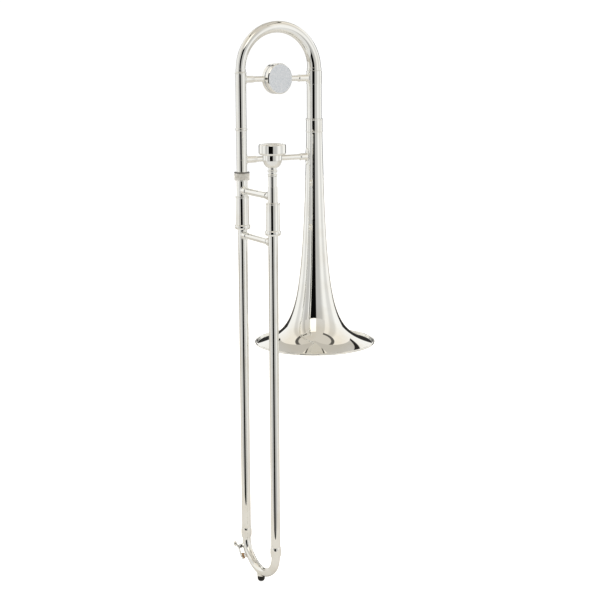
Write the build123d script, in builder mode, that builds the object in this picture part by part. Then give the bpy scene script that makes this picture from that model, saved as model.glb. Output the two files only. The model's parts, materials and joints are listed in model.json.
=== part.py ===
from build123d import *
from math import atan2, cos, radians, sin, tan
import os

os.makedirs("parts", exist_ok=True)

# Slide trombone in E flat (alto), standing on its bell's mouth.
# The origin is the centre of the bell's mouth and +Z runs up the bell's axis.
# The bell lies in the XZ plane. The slide's two tubes lie in the plane x = -neck_spacing.
# Every size is in millimetres and every turn in degrees.

# Gaps between pieces
solder_gap = 0.05
running_gap = 0.08
seat_gap = 0.3

# Spacing of the three upright axes
neck_spacing = 118.0
slide_spacing = 92.0

# Bell
bell_diameter = 178.0
bell_length = 316.0
bell_wall = 0.5
flare_knee = 13.0
flare_power = 0.638
flare_shares = (0.0, 0.0016, 0.008, 0.019, 0.038, 0.07, 0.12, 0.19, 0.285, 0.41, 0.57, 0.775, 1.0)
bead_radius = 1.6
bead_sheet = 0.45
bead_slit = 0.3

# Bell ferrule, a turned sleeve with a bead at each end
bell_ferrule_length = 19.5
bell_ferrule_lap = 4.5
bell_ferrule_wall = 0.3
ferrule_bead_rise = 0.45
ferrule_bead_length = 2.2

# Tuning slide: the neck side is narrow and the bell side is wide
narrow_leg_radius = 6.5
wide_leg_radius = 9.75
leg_wall = 0.5
leg_depth = 66.0
bow_wall = 0.5
bow_rise = 3.0
bow_ferrule_wall = 0.3
bow_ferrule_swell = 0.15
bow_ferrule_height = 4.2

# Sleeves that the tuning slide's legs run in
narrow_sleeve_wall = 0.82
wide_sleeve_wall = 0.67
bell_sleeve_length = 82.7
neck_sleeve_length = 79.4
sleeve_ring_wall = 0.3
sleeve_ring_height = 2.4
sleeve_ring_swell = 0.4
brace_collar_height = 19.0
brace_collar_wall = 0.4

# Neck pipe, its ferrule, and the socket for the slide's cone
neck_wall = 0.6
neck_ferrule_height = 3.8
neck_ferrule_swell = 0.5
socket_wall = 0.75
socket_flange_rise = 2.0
socket_flange_height = 1.8

# Lock nut and the slide's tenon
nut_drop = 29.1
nut_height = 12.3
nut_wall = 1.55
nut_bevel = 1.6
nut_lip = 3.2
thread_height = 6.0
cone_length = 19.8
cone_tip_wall = 0.25
cone_rise = 0.4
tenon_wall = 1.75
tenon_length = 21.9

# Slide tubes
slide_bore_radius = 5.85
inner_wall = 0.3
stocking_rise = 0.2
stocking_length = 120.0
inner_tube_recess = 13.5
outer_wall = 0.27
outer_tube_length = 485.5
outer_tube_cover = 16.0

# Cork barrels and their corks
barrel_space = 2.1
barrel_wall = 0.6
barrel_length = 45.0
barrel_cap = 2.5
barrel_bead_rise = 0.4
barrel_bead_height = 2.4
barrel_foot_rise = 1.45
barrel_foot_height = 7.0

# Slide lock
lock_ring_rise = 1.75
lock_ring_height = 6.6
lock_lip = 2.0
lock_lip_space = 0.5
lug_width = 2.6
lug_height = 2.6

# Mouthpiece, receiver and leadpipe
mouthpiece_length = 79.2
shank_tip_radius = 5.45
shank_slope = 0.0228
shank_length = 35.7
ring_radius = 6.6
ring_waist = 5.3
ring_pitch = 2.9
ring_round = 0.5
rim_radius = 18.5
rim_band = 12.5
rim_round = 2.6
cup_body_radius = 13.0
cup_radius = 12.3
cup_depth = 22.0
cup_edge_drop = 1.95
cup_middle_radius = 10.8
cup_middle_drop = 11.0
cup_side = 6.5
cup_hip_radius = 10.05
cup_hip_rise = 3.15
neck_lean = 7.0
bowl_lean = 0.2
wall_lean = 0.05
rim_lean = 0.25
throat_lean = 0.35
throat_radius = 3.2
throat_length = 6.0
tip_wall = 0.55
receiver_wall = 0.79
receiver_length = 21.5
leadpipe_length = 180.0
leadpipe_wall = 0.5

# Braces: each has a rod held in a foot at either end
upper_brace_drop = 10.0
lower_brace_height = 277.0
inner_brace_rise = 8.0
handle_drop = 10.5
bell_rod_radius = 3.9
inner_rod_radius = 4.7
handle_rod_radius = 4.3
socket_wall_out = 0.85
short_socket = 12.0
long_socket = 15.5
slide_socket = 8.0
socket_floor = 2.0
socket_ring_rise = 0.55
socket_ring_length = 1.7
saddle_thickness = 0.9
saddle_spread = 1.12
saddle_stretch = 1.3
brace_saddle_half = 7.0
bell_saddle_half = 12.0

# Counterweight, two halves clamped on the upper brace
weight_shift = -1.5
weight_radius = 21.5
weight_half = 8.0
weight_turn = 9.0
weight_seam = 0.9
weight_rebate = 1.1
weight_edge = 1.2
weight_screw_radius = 1.5
weight_screw_head = 2.9
weight_screw_length = 11.0
weight_screw_offset = 13.0

# Crook at the slide's far end: two tighter corners and a flatter floor
crook_step = 0.5
crook_wall = 0.3
crook_drop = 37.5
corner_turn = 45.0
crook_joint_drop = 7.5
crook_ferrule_height = 15.0
crook_ferrule_rise = 1.05

# Rubber bumper under the crook
bumper_radius = 5.4
bumper_length = 9.6
bumper_round = 4.2
bumper_socket_wall = 0.6
bumper_socket_height = 1.0

# Water key on the crook's corner
key_turn = 35.0
key_side = 50.0
key_hinge_along = 8.0
key_pad_along = -7.0
key_nipple_radius = 3.0
key_nipple_bore = 1.5
key_nipple_rise = 2.6
key_cork_radius = 4.2
key_cork_height = 3.0
key_cup_wall = 0.6
key_hinge_lift = 0.4
key_arm_lift = 0.4
key_arm_width = 4.8
key_arm_thickness = 1.6
key_barrel_radius = 2.1
key_barrel_half = 3.5
key_post_thickness = 1.2
key_post_width = 4.4
key_screw_radius = 0.95
key_screw_head = 2.0
key_screw_head_height = 1.25
key_spring_radius = 1.85
key_spring_half = 1.5
key_spring_leg = 0.3
key_touch_start = 4.4
key_touch_length = 6.0
key_touch_rise = 3.0
key_touch_width = 5.6
key_button_radius = 3.6
key_button_height = 3.6

# Radii of the pieces that fit each other, worked out from the sizes above
inner_tube_radius = slide_bore_radius + inner_wall
stocking_radius = inner_tube_radius + stocking_rise
outer_bore = stocking_radius + running_gap
outer_tube_radius = outer_bore + outer_wall
narrow_sleeve_radius = narrow_leg_radius + running_gap + narrow_sleeve_wall
wide_sleeve_radius = wide_leg_radius + running_gap + wide_sleeve_wall
cone_tip_radius = slide_bore_radius + cone_tip_wall
cone_base_radius = cone_tip_radius + cone_rise
neck_radius = cone_base_radius + solder_gap + socket_wall
thread_radius = neck_radius + socket_flange_rise
nut_radius = thread_radius + nut_wall
tenon_radius = inner_tube_radius + tenon_wall
barrel_bore = outer_tube_radius + barrel_space
barrel_radius = barrel_bore + barrel_wall
cork_radius = barrel_bore - seat_gap
lug_radius = barrel_bore - seat_gap
lock_lip_bore = outer_tube_radius + lock_lip_space
lock_ring_radius = barrel_radius + lock_ring_rise
bell_socket_radius = bell_rod_radius + socket_wall_out
inner_socket_radius = inner_rod_radius + socket_wall_out
handle_socket_radius = handle_rod_radius + socket_wall_out
crook_radius = outer_tube_radius - crook_step

# Heights of the joints between pieces, worked out from the bell's mouth upwards and down
sleeve_foot = bell_length + seat_gap
sleeve_top = sleeve_foot + bell_sleeve_length
bow_start = sleeve_top + bow_rise
neck_joint_height = sleeve_top - neck_sleeve_length
upper_brace_height = sleeve_top - upper_brace_drop
nut_base = lower_brace_height - nut_drop
barrel_top = nut_base - tenon_length
barrel_bottom = barrel_top - barrel_length
inner_brace_height = barrel_top + inner_brace_rise
handle_height = barrel_bottom - handle_drop
mouthpiece_tip = barrel_top + seat_gap
outer_tube_top = barrel_top - outer_tube_cover
crook_top = outer_tube_top - outer_tube_length
crook_start = crook_top - crook_joint_drop
inner_tube_end = crook_top + inner_tube_recess
weight_x = weight_shift - neck_spacing / 2
key_nipple_height = crook_radius + key_nipple_rise
key_cork_base = key_nipple_height + 2 * solder_gap
key_hinge_height = key_cork_base + key_cork_height + key_hinge_lift
flare_steps = [share * bell_length for share in flare_shares]
bell_axis = (0.0, 0.0)
neck_axis = (-neck_spacing, 0.0)
mouth_axis = (-neck_spacing, -slide_spacing)


# The shank's radius at a height, and the receiver that it fits
def shank_radius(height):
    return shank_tip_radius + shank_slope * (height - mouthpiece_tip)


receiver_top_radius = shank_radius(barrel_top + receiver_length) + solder_gap + receiver_wall
receiver_radius = max(receiver_top_radius, inner_tube_radius + solder_gap + seat_gap)


def write(piece, name):
    piece.part.label = name
    export_step(piece.part, f"parts/{name}.step")


# A plane through an upright axis: its X is the radius and its Y the height.
def upright(at):
    return Plane(origin=(at[0], at[1], 0), x_dir=(1, 0, 0), z_dir=(0, -1, 0))


def upright_axis(at):
    return Axis((at[0], at[1], 0), (0, 0, 1))


# A straight tube between two heights.
def tube(at, radius, bore, low, high):
    with BuildPart() as pipe:
        with BuildSketch(Plane(origin=(at[0], at[1], low))):
            Circle(radius)
            Circle(bore, mode=Mode.SUBTRACT)
        extrude(amount=high - low)
    return pipe


# A piece turned on a lathe, from corners given as radius and height.
def turned(at, corners):
    with BuildPart() as piece:
        with BuildSketch(upright(at)):
            Polygon(*corners, align=None)
        revolve(axis=upright_axis(at))
    return piece


# A ring with a rounded outside, such as a bead or a ferrule.
def beaded_ring(at, radius, bore, low, high, swell):
    with BuildPart() as ring:
        with BuildSketch(upright(at)):
            with BuildLine():
                Polyline((radius, low), (bore, low), (bore, high), (radius, high))
                ThreePointArc((radius, high), (radius + swell, (low + high) / 2), (radius, low))
            make_face()
        revolve(axis=upright_axis(at))
    return ring


# The bell's outer radius at a height: a wide mouth that closes to a slow taper.
def bell_radius(height):
    return bell_diameter / 2 * (flare_knee / (height + flare_knee)) ** flare_power


# The same height's point on the inside of the sheet, one wall in along the normal.
def bell_inner_point(height):
    slope = -flare_power * bell_radius(height) / (height + flare_knee)
    lean = atan2(-slope, 1.0)
    return (bell_radius(height) - bell_wall * cos(lean), height - bell_wall * sin(lean))


def make_bell():
    bead_at = (bell_diameter / 2 - bead_radius, bead_radius)
    outside = [(bell_radius(h), h) for h in flare_steps if bell_radius(h) < bead_at[0]]
    mouth = (bead_at[0], bell_wall)
    inside = [bell_inner_point(h) for h in flare_steps if h > flare_steps[1]]
    throat_in = (bell_radius(bell_length) - bell_wall, bell_length)
    inside[-1] = throat_in
    lip = (bead_at[0], 0.0)
    with BuildPart() as bell:
        with BuildSketch(upright(bell_axis)):
            with BuildLine():
                Spline(mouth, *outside)
                Line(outside[-1], throat_in)
                Spline(*reversed(inside), lip)
                Line(lip, mouth)
            make_face()
            with Locations(bead_at):
                Circle(bead_radius)
                Circle(bead_radius - bead_sheet, mode=Mode.SUBTRACT)
            with Locations((bead_at[0] - bead_radius, bead_at[1] + bead_slit)):
                Rectangle(bead_radius, bead_slit, mode=Mode.SUBTRACT)
        revolve(axis=upright_axis(bell_axis))
    write(bell, "bell")
    wire_at = Plane(origin=(bead_at[0], 0, bead_at[1]), x_dir=(1, 0, 0), z_dir=(0, -1, 0))
    with BuildPart() as bell_rim_wire:
        with BuildSketch(wire_at):
            Circle(bead_radius - bead_sheet - solder_gap)
        revolve(axis=upright_axis(bell_axis))
    write(bell_rim_wire, "bell_rim_wire")


# The ferrule laps the bell's throat and the tuning sleeve's foot.
def make_bell_ferrule():
    low = bell_length - bell_ferrule_lap
    high = low + bell_ferrule_length
    throat_bore = bell_radius(low) + solder_gap
    sleeve_bore = wide_sleeve_radius + solder_gap
    body = max(throat_bore, sleeve_bore) + bell_ferrule_wall
    bead_middle = ferrule_bead_length / 2
    with BuildPart() as bell_ferrule:
        with BuildSketch(upright(bell_axis)):
            Polygon((throat_bore, low), (body, low), (body, high), (sleeve_bore, high),
                    (sleeve_bore, bell_length), (throat_bore, bell_length), align=None)
            for bore, height in ((throat_bore, low + bead_middle), (sleeve_bore, high - bead_middle)):
                with Locations((body, height)):
                    Ellipse(ferrule_bead_rise, bead_middle)
                with Locations((bore - ferrule_bead_rise, height)):
                    Rectangle(2 * ferrule_bead_rise, ferrule_bead_length, mode=Mode.SUBTRACT)
        revolve(axis=upright_axis(bell_axis))
    write(bell_ferrule, "bell_ferrule")


# The fixed sleeves that the tuning slide's legs run in, with their rings.
def make_tuning_sleeves():
    narrow_bore = narrow_leg_radius + running_gap
    wide_bore = wide_leg_radius + running_gap
    neck_sleeve = tube(neck_axis, narrow_sleeve_radius, narrow_bore, neck_joint_height, sleeve_top)
    write(neck_sleeve, "tuning_sleeve_neck")
    bell_sleeve = tube(bell_axis, wide_sleeve_radius, wide_bore, sleeve_foot, sleeve_top)
    write(bell_sleeve, "tuning_sleeve_bell")
    neck_ring = beaded_ring(neck_axis, narrow_sleeve_radius + solder_gap + sleeve_ring_wall,
                            narrow_sleeve_radius + solder_gap,
                            sleeve_top - sleeve_ring_height, sleeve_top, sleeve_ring_swell)
    write(neck_ring, "tuning_sleeve_ring_neck")
    collar = wide_sleeve_radius + solder_gap
    bell_ring = tube(bell_axis, collar + brace_collar_wall, collar,
                     sleeve_top - brace_collar_height, sleeve_top)
    write(bell_ring, "tuning_sleeve_ring_bell")


# The neck pipe stands on the socket, inside the lower brace's foot. Its ferrule is bored from each end
# for the tube that enters there.
def make_neck():
    pipe_bore = min(neck_radius, narrow_sleeve_radius) - neck_wall
    neckpipe = tube(neck_axis, neck_radius, pipe_bore, lower_brace_height, neck_joint_height)
    write(neckpipe, "neckpipe")
    edge = max(neck_radius, narrow_sleeve_radius) + solder_gap + sleeve_ring_wall
    ring_low = neck_joint_height - neck_ferrule_height / 2
    ring_high = neck_joint_height + neck_ferrule_height / 2
    with BuildPart() as neck_ferrule:
        with BuildSketch(upright(neck_axis)):
            with BuildLine():
                Polyline((edge, ring_low), (0, ring_low), (0, ring_high), (edge, ring_high))
                ThreePointArc((edge, ring_high), (edge + neck_ferrule_swell, neck_joint_height),
                              (edge, ring_low))
            make_face()
        revolve(axis=upright_axis(neck_axis))
        with BuildSketch(Plane(origin=(*neck_axis, ring_low))):
            Circle(neck_radius + solder_gap)
        extrude(amount=neck_ferrule_height / 2, mode=Mode.SUBTRACT)
        with BuildSketch(Plane(origin=(*neck_axis, neck_joint_height))):
            Circle(narrow_sleeve_radius + solder_gap)
        extrude(amount=neck_ferrule_height / 2, mode=Mode.SUBTRACT)
    write(neck_ferrule, "neck_ferrule")


# The socket has the cone's bore, and a flange that the lock nut pulls on.
def make_neck_socket():
    low = nut_base + thread_height + seat_gap * 2
    cone_low = low - seat_gap
    cone_high = cone_low + cone_length
    flange_high = low + socket_flange_height
    neck_socket = turned(neck_axis, [
        (cone_base_radius + solder_gap, low), (thread_radius, low), (thread_radius, flange_high),
        (neck_radius, flange_high), (neck_radius, lower_brace_height),
        (neck_radius - neck_wall, lower_brace_height), (neck_radius - neck_wall, cone_high + seat_gap),
        (cone_tip_radius + solder_gap, cone_high + seat_gap)])
    write(neck_socket, "neck_socket")


# The nut hangs on the socket's flange by its top lip and screws down on the slide's thread.
def make_lock_nut():
    nut_top = nut_base + nut_height
    thread_bore = thread_radius + running_gap
    lip_bore = neck_radius + running_gap
    bell_lock_nut = turned(neck_axis, [
        (thread_bore, nut_base), (nut_radius - nut_bevel / 2, nut_base),
        (nut_radius, nut_base + nut_bevel), (nut_radius, nut_top - nut_bevel),
        (nut_radius - nut_bevel, nut_top), (lip_bore, nut_top),
        (lip_bore, nut_top - nut_lip), (thread_bore, nut_top - nut_lip)])
    write(bell_lock_nut, "bell_lock_nut")


# The tenon carries the thread and the cone that seats in the neck's socket.
def make_slide_tenon():
    tube_bore = inner_tube_radius + solder_gap
    tube_seat = barrel_top + cone_length / 2
    thread_low = nut_base + seat_gap
    thread_high = nut_base + thread_height
    cone_high = thread_high + seat_gap + cone_length
    slide_tenon = turned(neck_axis, [
        (tube_bore, barrel_top), (tenon_radius, barrel_top), (tenon_radius, thread_low),
        (thread_radius, thread_low), (thread_radius, thread_high),
        (cone_base_radius, thread_high), (cone_tip_radius, cone_high),
        (slide_bore_radius, cone_high), (slide_bore_radius, tube_seat), (tube_bore, tube_seat)])
    write(slide_tenon, "slide_tenon")
    return tube_seat


# An inner tube, with its far end swelled into the stocking that the outer tube runs on.
def inner_tube(at, high):
    swell_high = inner_tube_end + stocking_length
    swell_low = swell_high - stocking_rise
    return turned(at, [
        (slide_bore_radius, inner_tube_end), (stocking_radius, inner_tube_end),
        (stocking_radius, swell_low), (inner_tube_radius, swell_high),
        (inner_tube_radius, high), (slide_bore_radius, high)])


# A cork barrel: a cap on the inner tube, and a wall that hides the outer tube's end.
def cork_barrel(at, foot_rise, foot_height):
    bore = barrel_bore
    cap_bore = inner_tube_radius + solder_gap
    bead_middle = barrel_top - barrel_bead_height / 2
    with BuildPart() as barrel:
        with BuildSketch(upright(at)):
            Polygon((cap_bore, barrel_top - barrel_cap), (cap_bore, barrel_top),
                    (barrel_radius, barrel_top), (barrel_radius, barrel_bottom),
                    (bore, barrel_bottom), (bore, barrel_top - barrel_cap), align=None)
            with Locations((barrel_radius - barrel_wall / 2, bead_middle)):
                Ellipse(barrel_bead_rise + barrel_wall / 2, barrel_bead_height / 2)
            if foot_height > 0:
                with Locations((barrel_radius - barrel_wall / 2, barrel_bottom + foot_height / 2)):
                    Ellipse(foot_rise + barrel_wall / 2, foot_height / 2)
                with Locations((bore - foot_rise, barrel_bottom + foot_height / 2)):
                    Rectangle(2 * foot_rise, foot_height, mode=Mode.SUBTRACT)
        revolve(axis=upright_axis(at))
    return barrel


# Everything that the inner slide carries on each side.
def make_inner_slide(neck_tube_high):
    write(inner_tube(neck_axis, neck_tube_high - seat_gap), "inner_tube_neck")
    mouth_tube_high = mouthpiece_tip - 2 * seat_gap
    write(inner_tube(mouth_axis, mouth_tube_high), "inner_tube_mouthpiece")
    write(cork_barrel(neck_axis, 0, 0), "cork_barrel_neck")
    write(cork_barrel(mouth_axis, barrel_foot_rise, barrel_foot_height), "cork_barrel_mouthpiece")
    cork_low = outer_tube_top + seat_gap
    cork_high = barrel_top - barrel_cap - solder_gap
    for side, at in (("neck", neck_axis), ("mouthpiece", mouth_axis)):
        cork = tube(at, cork_radius, inner_tube_radius + solder_gap, cork_low, cork_high)
        write(cork, f"bumper_cork_{side}")
    lead_radius = slide_bore_radius - solder_gap
    lead_high = mouth_tube_high - seat_gap
    lead_low = lead_high - leadpipe_length
    leadpipe = turned(mouth_axis, [
        (lead_radius - leadpipe_wall / 2, lead_low), (lead_radius, lead_low),
        (lead_radius, lead_high), (lead_radius - leadpipe_wall, lead_high)])
    write(leadpipe, "leadpipe")


# The lock ring turns on the neck side's barrel. Its lip has one notch for the lug.
def make_slide_lock():
    ring_low = barrel_bottom - lock_lip - seat_gap
    ring_high = ring_low + lock_ring_height
    ring_middle = (ring_low + ring_high) / 2
    ring_bore = barrel_radius + running_gap
    with BuildPart() as slide_lock_ring:
        with BuildSketch(upright(neck_axis)):
            with BuildLine():
                Polyline((ring_bore + inner_wall, ring_high), (ring_bore, ring_high),
                         (ring_bore, ring_low + lock_lip), (lock_lip_bore, ring_low + lock_lip),
                         (lock_lip_bore, ring_low), (ring_bore + inner_wall, ring_low))
                ThreePointArc((ring_bore + inner_wall, ring_low), (lock_ring_radius, ring_middle),
                              (ring_bore + inner_wall, ring_high))
            make_face()
        revolve(axis=upright_axis(neck_axis))
        with BuildSketch(Plane(origin=(*neck_axis, ring_low))):
            with Locations((lug_radius / 2 + seat_gap, 0)):
                Rectangle(lug_radius + seat_gap, lug_width + 2 * seat_gap)
        extrude(amount=lock_lip, mode=Mode.SUBTRACT)
    write(slide_lock_ring, "slide_lock_ring")
    lug_low = ring_low + lock_lip + 2 * seat_gap
    with BuildPart() as lock_lug:
        with BuildSketch(Plane(origin=(*neck_axis, lug_low))):
            with Locations((lug_radius / 2, 0)):
                Rectangle(lug_radius, lug_width)
            Circle(outer_tube_radius + solder_gap, mode=Mode.SUBTRACT)
        extrude(amount=lug_height)
    write(lock_lug, "lock_lug")


# The receiver holds the mouthpiece's tapered shank.
def make_receiver():
    high = barrel_top + receiver_length
    mouthpiece_receiver = turned(mouth_axis, [
        (shank_radius(barrel_top) + solder_gap, barrel_top), (receiver_radius, barrel_top),
        (receiver_radius, high), (shank_radius(high) + solder_gap, high)])
    write(mouthpiece_receiver, "mouthpiece_receiver")


# The mouthpiece: rim band, cup, two turned rings and a tapered shank.
def make_mouthpiece():
    top = mouthpiece_tip + mouthpiece_length
    shank_high = mouthpiece_tip + shank_length
    neck_high = shank_high + 4 * ring_pitch
    cup_low = top - cup_depth
    throat_low = cup_low - throat_length
    band_low = top - rim_band
    shoulder = band_low - rim_round
    ring_flat = ring_radius - ring_round
    cup_hip = shoulder - cup_side
    cup_edge = top - cup_edge_drop
    with BuildPart() as mouthpiece:
        with BuildSketch(upright(mouth_axis)):
            with BuildLine():
                Line((shank_tip_radius - tip_wall, mouthpiece_tip), (shank_tip_radius, mouthpiece_tip))
                Line((shank_tip_radius, mouthpiece_tip), (shank_radius(shank_high), shank_high))
                Line((shank_radius(shank_high), shank_high), (ring_flat, shank_high))
                for step in range(2):
                    low = shank_high + 2 * step * ring_pitch
                    ThreePointArc((ring_flat, low), (ring_radius, low + ring_pitch / 2),
                                  (ring_flat, low + ring_pitch))
                    Line((ring_flat, low + ring_pitch), (ring_waist, low + ring_pitch))
                    Line((ring_waist, low + ring_pitch), (ring_waist, low + 2 * ring_pitch))
                    if step == 0:
                        Line((ring_waist, low + 2 * ring_pitch), (ring_flat, low + 2 * ring_pitch))
                Spline((ring_waist, neck_high), (cup_hip_radius, neck_high + cup_hip_rise),
                       (cup_body_radius, cup_hip), tangents=((neck_lean, 1), (bowl_lean, 1)))
                Line((cup_body_radius, cup_hip), (cup_body_radius, shoulder))
                Spline((cup_body_radius, shoulder), (rim_radius, band_low),
                       tangents=((1, wall_lean), (2 * wall_lean, 1)))
                Line((rim_radius, band_low), (rim_radius, top - rim_round))
                Spline((rim_radius, top - rim_round), (rim_radius - rim_round, top), (cup_radius, cup_edge),
                       tangents=((0, 1), (-rim_lean, -1)))
                Spline((cup_radius, cup_edge), (cup_middle_radius, top - cup_middle_drop),
                       (throat_radius, cup_low), tangents=((-wall_lean, -1), (-throat_lean, -1)))
                Line((throat_radius, cup_low), (throat_radius, throat_low))
                Line((throat_radius, throat_low), (shank_tip_radius - tip_wall, mouthpiece_tip))
            make_face()
        revolve(axis=upright_axis(mouth_axis))
    write(mouthpiece, "mouthpiece")


# The tuning bow widens steadily from the neck side to the bell side.
def make_tuning_bow():
    with BuildLine(Plane.XZ) as arch:
        CenterArc((-neck_spacing / 2, bow_start), neck_spacing / 2, 0, 180)
    bow_wide_end = Plane(origin=arch.line @ 0, z_dir=arch.line % 0)
    bow_narrow_end = Plane(origin=arch.line @ 1, z_dir=arch.line % 1)
    with BuildPart() as tuning_bow:
        for inset, mode in ((0.0, Mode.ADD), (bow_wall, Mode.SUBTRACT)):
            with BuildSketch(bow_wide_end, mode=Mode.PRIVATE) as wide_end:
                Circle(wide_leg_radius - inset)
            with BuildSketch(bow_narrow_end, mode=Mode.PRIVATE) as narrow_end:
                Circle(narrow_leg_radius - inset)
            sweep(sections=[wide_end.sketch.face(), narrow_end.sketch.face()],
                  path=arch.line, multisection=True, mode=mode)
    write(tuning_bow, "tuning_bow")


def make_tuning_legs():
    leg_low = sleeve_top - leg_depth
    ferrule_low = sleeve_top + seat_gap
    for side, at, radius in (("neck", neck_axis, narrow_leg_radius), ("bell", bell_axis, wide_leg_radius)):
        write(tube(at, radius, radius - leg_wall, leg_low, bow_start), f"tuning_leg_{side}")
        bore = radius + solder_gap
        ferrule = beaded_ring(at, bore + bow_ferrule_wall, bore, ferrule_low,
                              ferrule_low + bow_ferrule_height, bow_ferrule_swell)
        write(ferrule, f"tuning_bow_ferrule_{side}")


# A brace foot: an oval saddle on a tube, and a socket for the rod.
# The seat plane lies across the brace on the tube's axis, with its X along the tube.
# The tube may taper, so its radius is given half a saddle below and above the brace.
def brace_foot(seat, radius_low, radius_high, socket_radius, rod_radius, socket_length,
               saddle_half, ring_at_mouth):
    radius = (radius_low + radius_high) / 2
    mouth = radius + socket_length
    saddle_width = socket_radius * saddle_spread
    tube_line = Axis(seat.origin, seat.x_dir)
    gap = solder_gap
    skin = saddle_thickness
    with BuildPart() as foot:
        with BuildSketch(seat):
            Ellipse(saddle_half, saddle_width)
        extrude(amount=mouth)
        with BuildSketch(seat):
            Polygon((-saddle_half, 0), (saddle_half, 0), (saddle_half, radius_high + skin),
                    (-saddle_half, radius_low + skin), align=None)
        revolve(axis=tube_line, mode=Mode.INTERSECT)
        with BuildSketch(seat):
            Circle(socket_radius)
        extrude(amount=mouth)
        if ring_at_mouth:
            with BuildSketch(seat.offset(mouth - socket_ring_length)):
                Circle(socket_radius + socket_ring_rise)
            extrude(amount=socket_ring_length)
        with BuildSketch(seat.offset(radius + socket_floor)):
            Circle(rod_radius + solder_gap)
        extrude(amount=socket_length, mode=Mode.SUBTRACT)
        with BuildSketch(seat):
            Polygon((-2 * saddle_half, 0), (2 * saddle_half, 0),
                    (2 * saddle_half, radius_high + (radius_high - radius_low) / 2 + gap),
                    (-2 * saddle_half, radius_low - (radius_high - radius_low) / 2 + gap), align=None)
        revolve(axis=tube_line, mode=Mode.SUBTRACT)
    return foot


# A rod between two points, short of each socket's floor.
def rod(plane, radius, length):
    with BuildPart() as bar:
        with BuildSketch(plane):
            Circle(radius)
        extrude(amount=length)
    return bar


# The two braces between the neck and the bell.
def make_bell_braces():
    collar = wide_sleeve_radius + solder_gap + brace_collar_wall
    neck_low = bell_radius(lower_brace_height - bell_saddle_half)
    neck_high = bell_radius(lower_brace_height + bell_saddle_half)
    rows = (
        ("upper", upper_brace_height, narrow_sleeve_radius, collar, collar, brace_saddle_half,
         short_socket, long_socket),
        ("lower", lower_brace_height, neck_radius, neck_low, neck_high, bell_saddle_half,
         long_socket, short_socket),
    )
    for name, height, neck_side, bell_low, bell_high, half, neck_socket, bell_socket in rows:
        left = Plane(origin=(*neck_axis, height), x_dir=(0, 0, 1), z_dir=(1, 0, 0))
        right = Plane(origin=(*bell_axis, height), x_dir=(0, 0, 1), z_dir=(-1, 0, 0))
        neck_foot = brace_foot(left, neck_side, neck_side, bell_socket_radius, bell_rod_radius,
                               neck_socket, brace_saddle_half, False)
        write(neck_foot, f"{name}_brace_foot_neck")
        bell_foot = brace_foot(right, bell_low, bell_high, bell_socket_radius, bell_rod_radius,
                               bell_socket, half, True)
        write(bell_foot, f"{name}_brace_foot_bell")
        start = neck_side + socket_floor + seat_gap
        end = neck_spacing - (bell_low + bell_high) / 2 - socket_floor - seat_gap
        write(rod(left.offset(start), bell_rod_radius, end - start), f"{name}_brace_rod")


# The two braces across the slide: one fixed to the inner tubes, one on the outer tubes.
def make_slide_braces():
    rows = (
        ("inner", inner_brace_height, tenon_radius, receiver_radius, inner_rod_radius,
         inner_socket_radius, False),
        ("handle", handle_height, outer_tube_radius, outer_tube_radius, handle_rod_radius,
         handle_socket_radius, True),
    )
    for name, height, neck_side, mouth_side, rod_radius, socket_radius, ring in rows:
        far = Plane(origin=(*neck_axis, height), x_dir=(0, 0, 1), z_dir=(0, -1, 0))
        near = Plane(origin=(*mouth_axis, height), x_dir=(0, 0, 1), z_dir=(0, 1, 0))
        saddle_half = socket_radius * saddle_stretch
        neck_foot = brace_foot(far, neck_side, neck_side, socket_radius, rod_radius,
                               slide_socket, saddle_half, False)
        write(neck_foot, f"{name}_brace_foot_neck")
        mouth_foot = brace_foot(near, mouth_side, mouth_side, socket_radius, rod_radius,
                                slide_socket, saddle_half, ring)
        write(mouth_foot, f"{name}_brace_foot_mouthpiece")
        start = neck_side + socket_floor + seat_gap
        end = slide_spacing - mouth_side - socket_floor - seat_gap
        write(rod(far.offset(start), rod_radius, end - start), f"{name}_brace_rod")


# The counterweight's front and back halves, with a groove at their seam.
def counterweight_half(half_plane, screw_depth, head_seats):
    outward = Axis(half_plane.origin, half_plane.z_dir)
    brace_hole = Plane(origin=(weight_x, 0, upper_brace_height), z_dir=(1, 0, 0))
    with BuildPart() as half:
        with BuildSketch(half_plane):
            Circle(weight_radius - weight_rebate)
        extrude(amount=weight_half)
        with BuildSketch(half_plane.offset(weight_seam)):
            Circle(weight_radius)
        extrude(amount=weight_half - weight_seam)
        outer_face = half.faces().sort_by(outward)[-1]
        chamfer(outer_face.edges(), weight_edge)
        with BuildSketch(brace_hole):
            Circle(bell_rod_radius + solder_gap)
        extrude(amount=weight_radius + weight_half, both=True, mode=Mode.SUBTRACT)
        with BuildSketch(half_plane):
            with Locations((0, weight_screw_offset), (0, -weight_screw_offset)):
                Circle(weight_screw_radius + solder_gap)
        extrude(amount=screw_depth, mode=Mode.SUBTRACT)
        if head_seats:
            with BuildSketch(half_plane.offset(weight_half)):
                with Locations((0, weight_screw_offset), (0, -weight_screw_offset)):
                    Circle(weight_screw_head + solder_gap)
            extrude(amount=-weight_screw_radius - 2 * solder_gap, mode=Mode.SUBTRACT)
    return half


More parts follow.
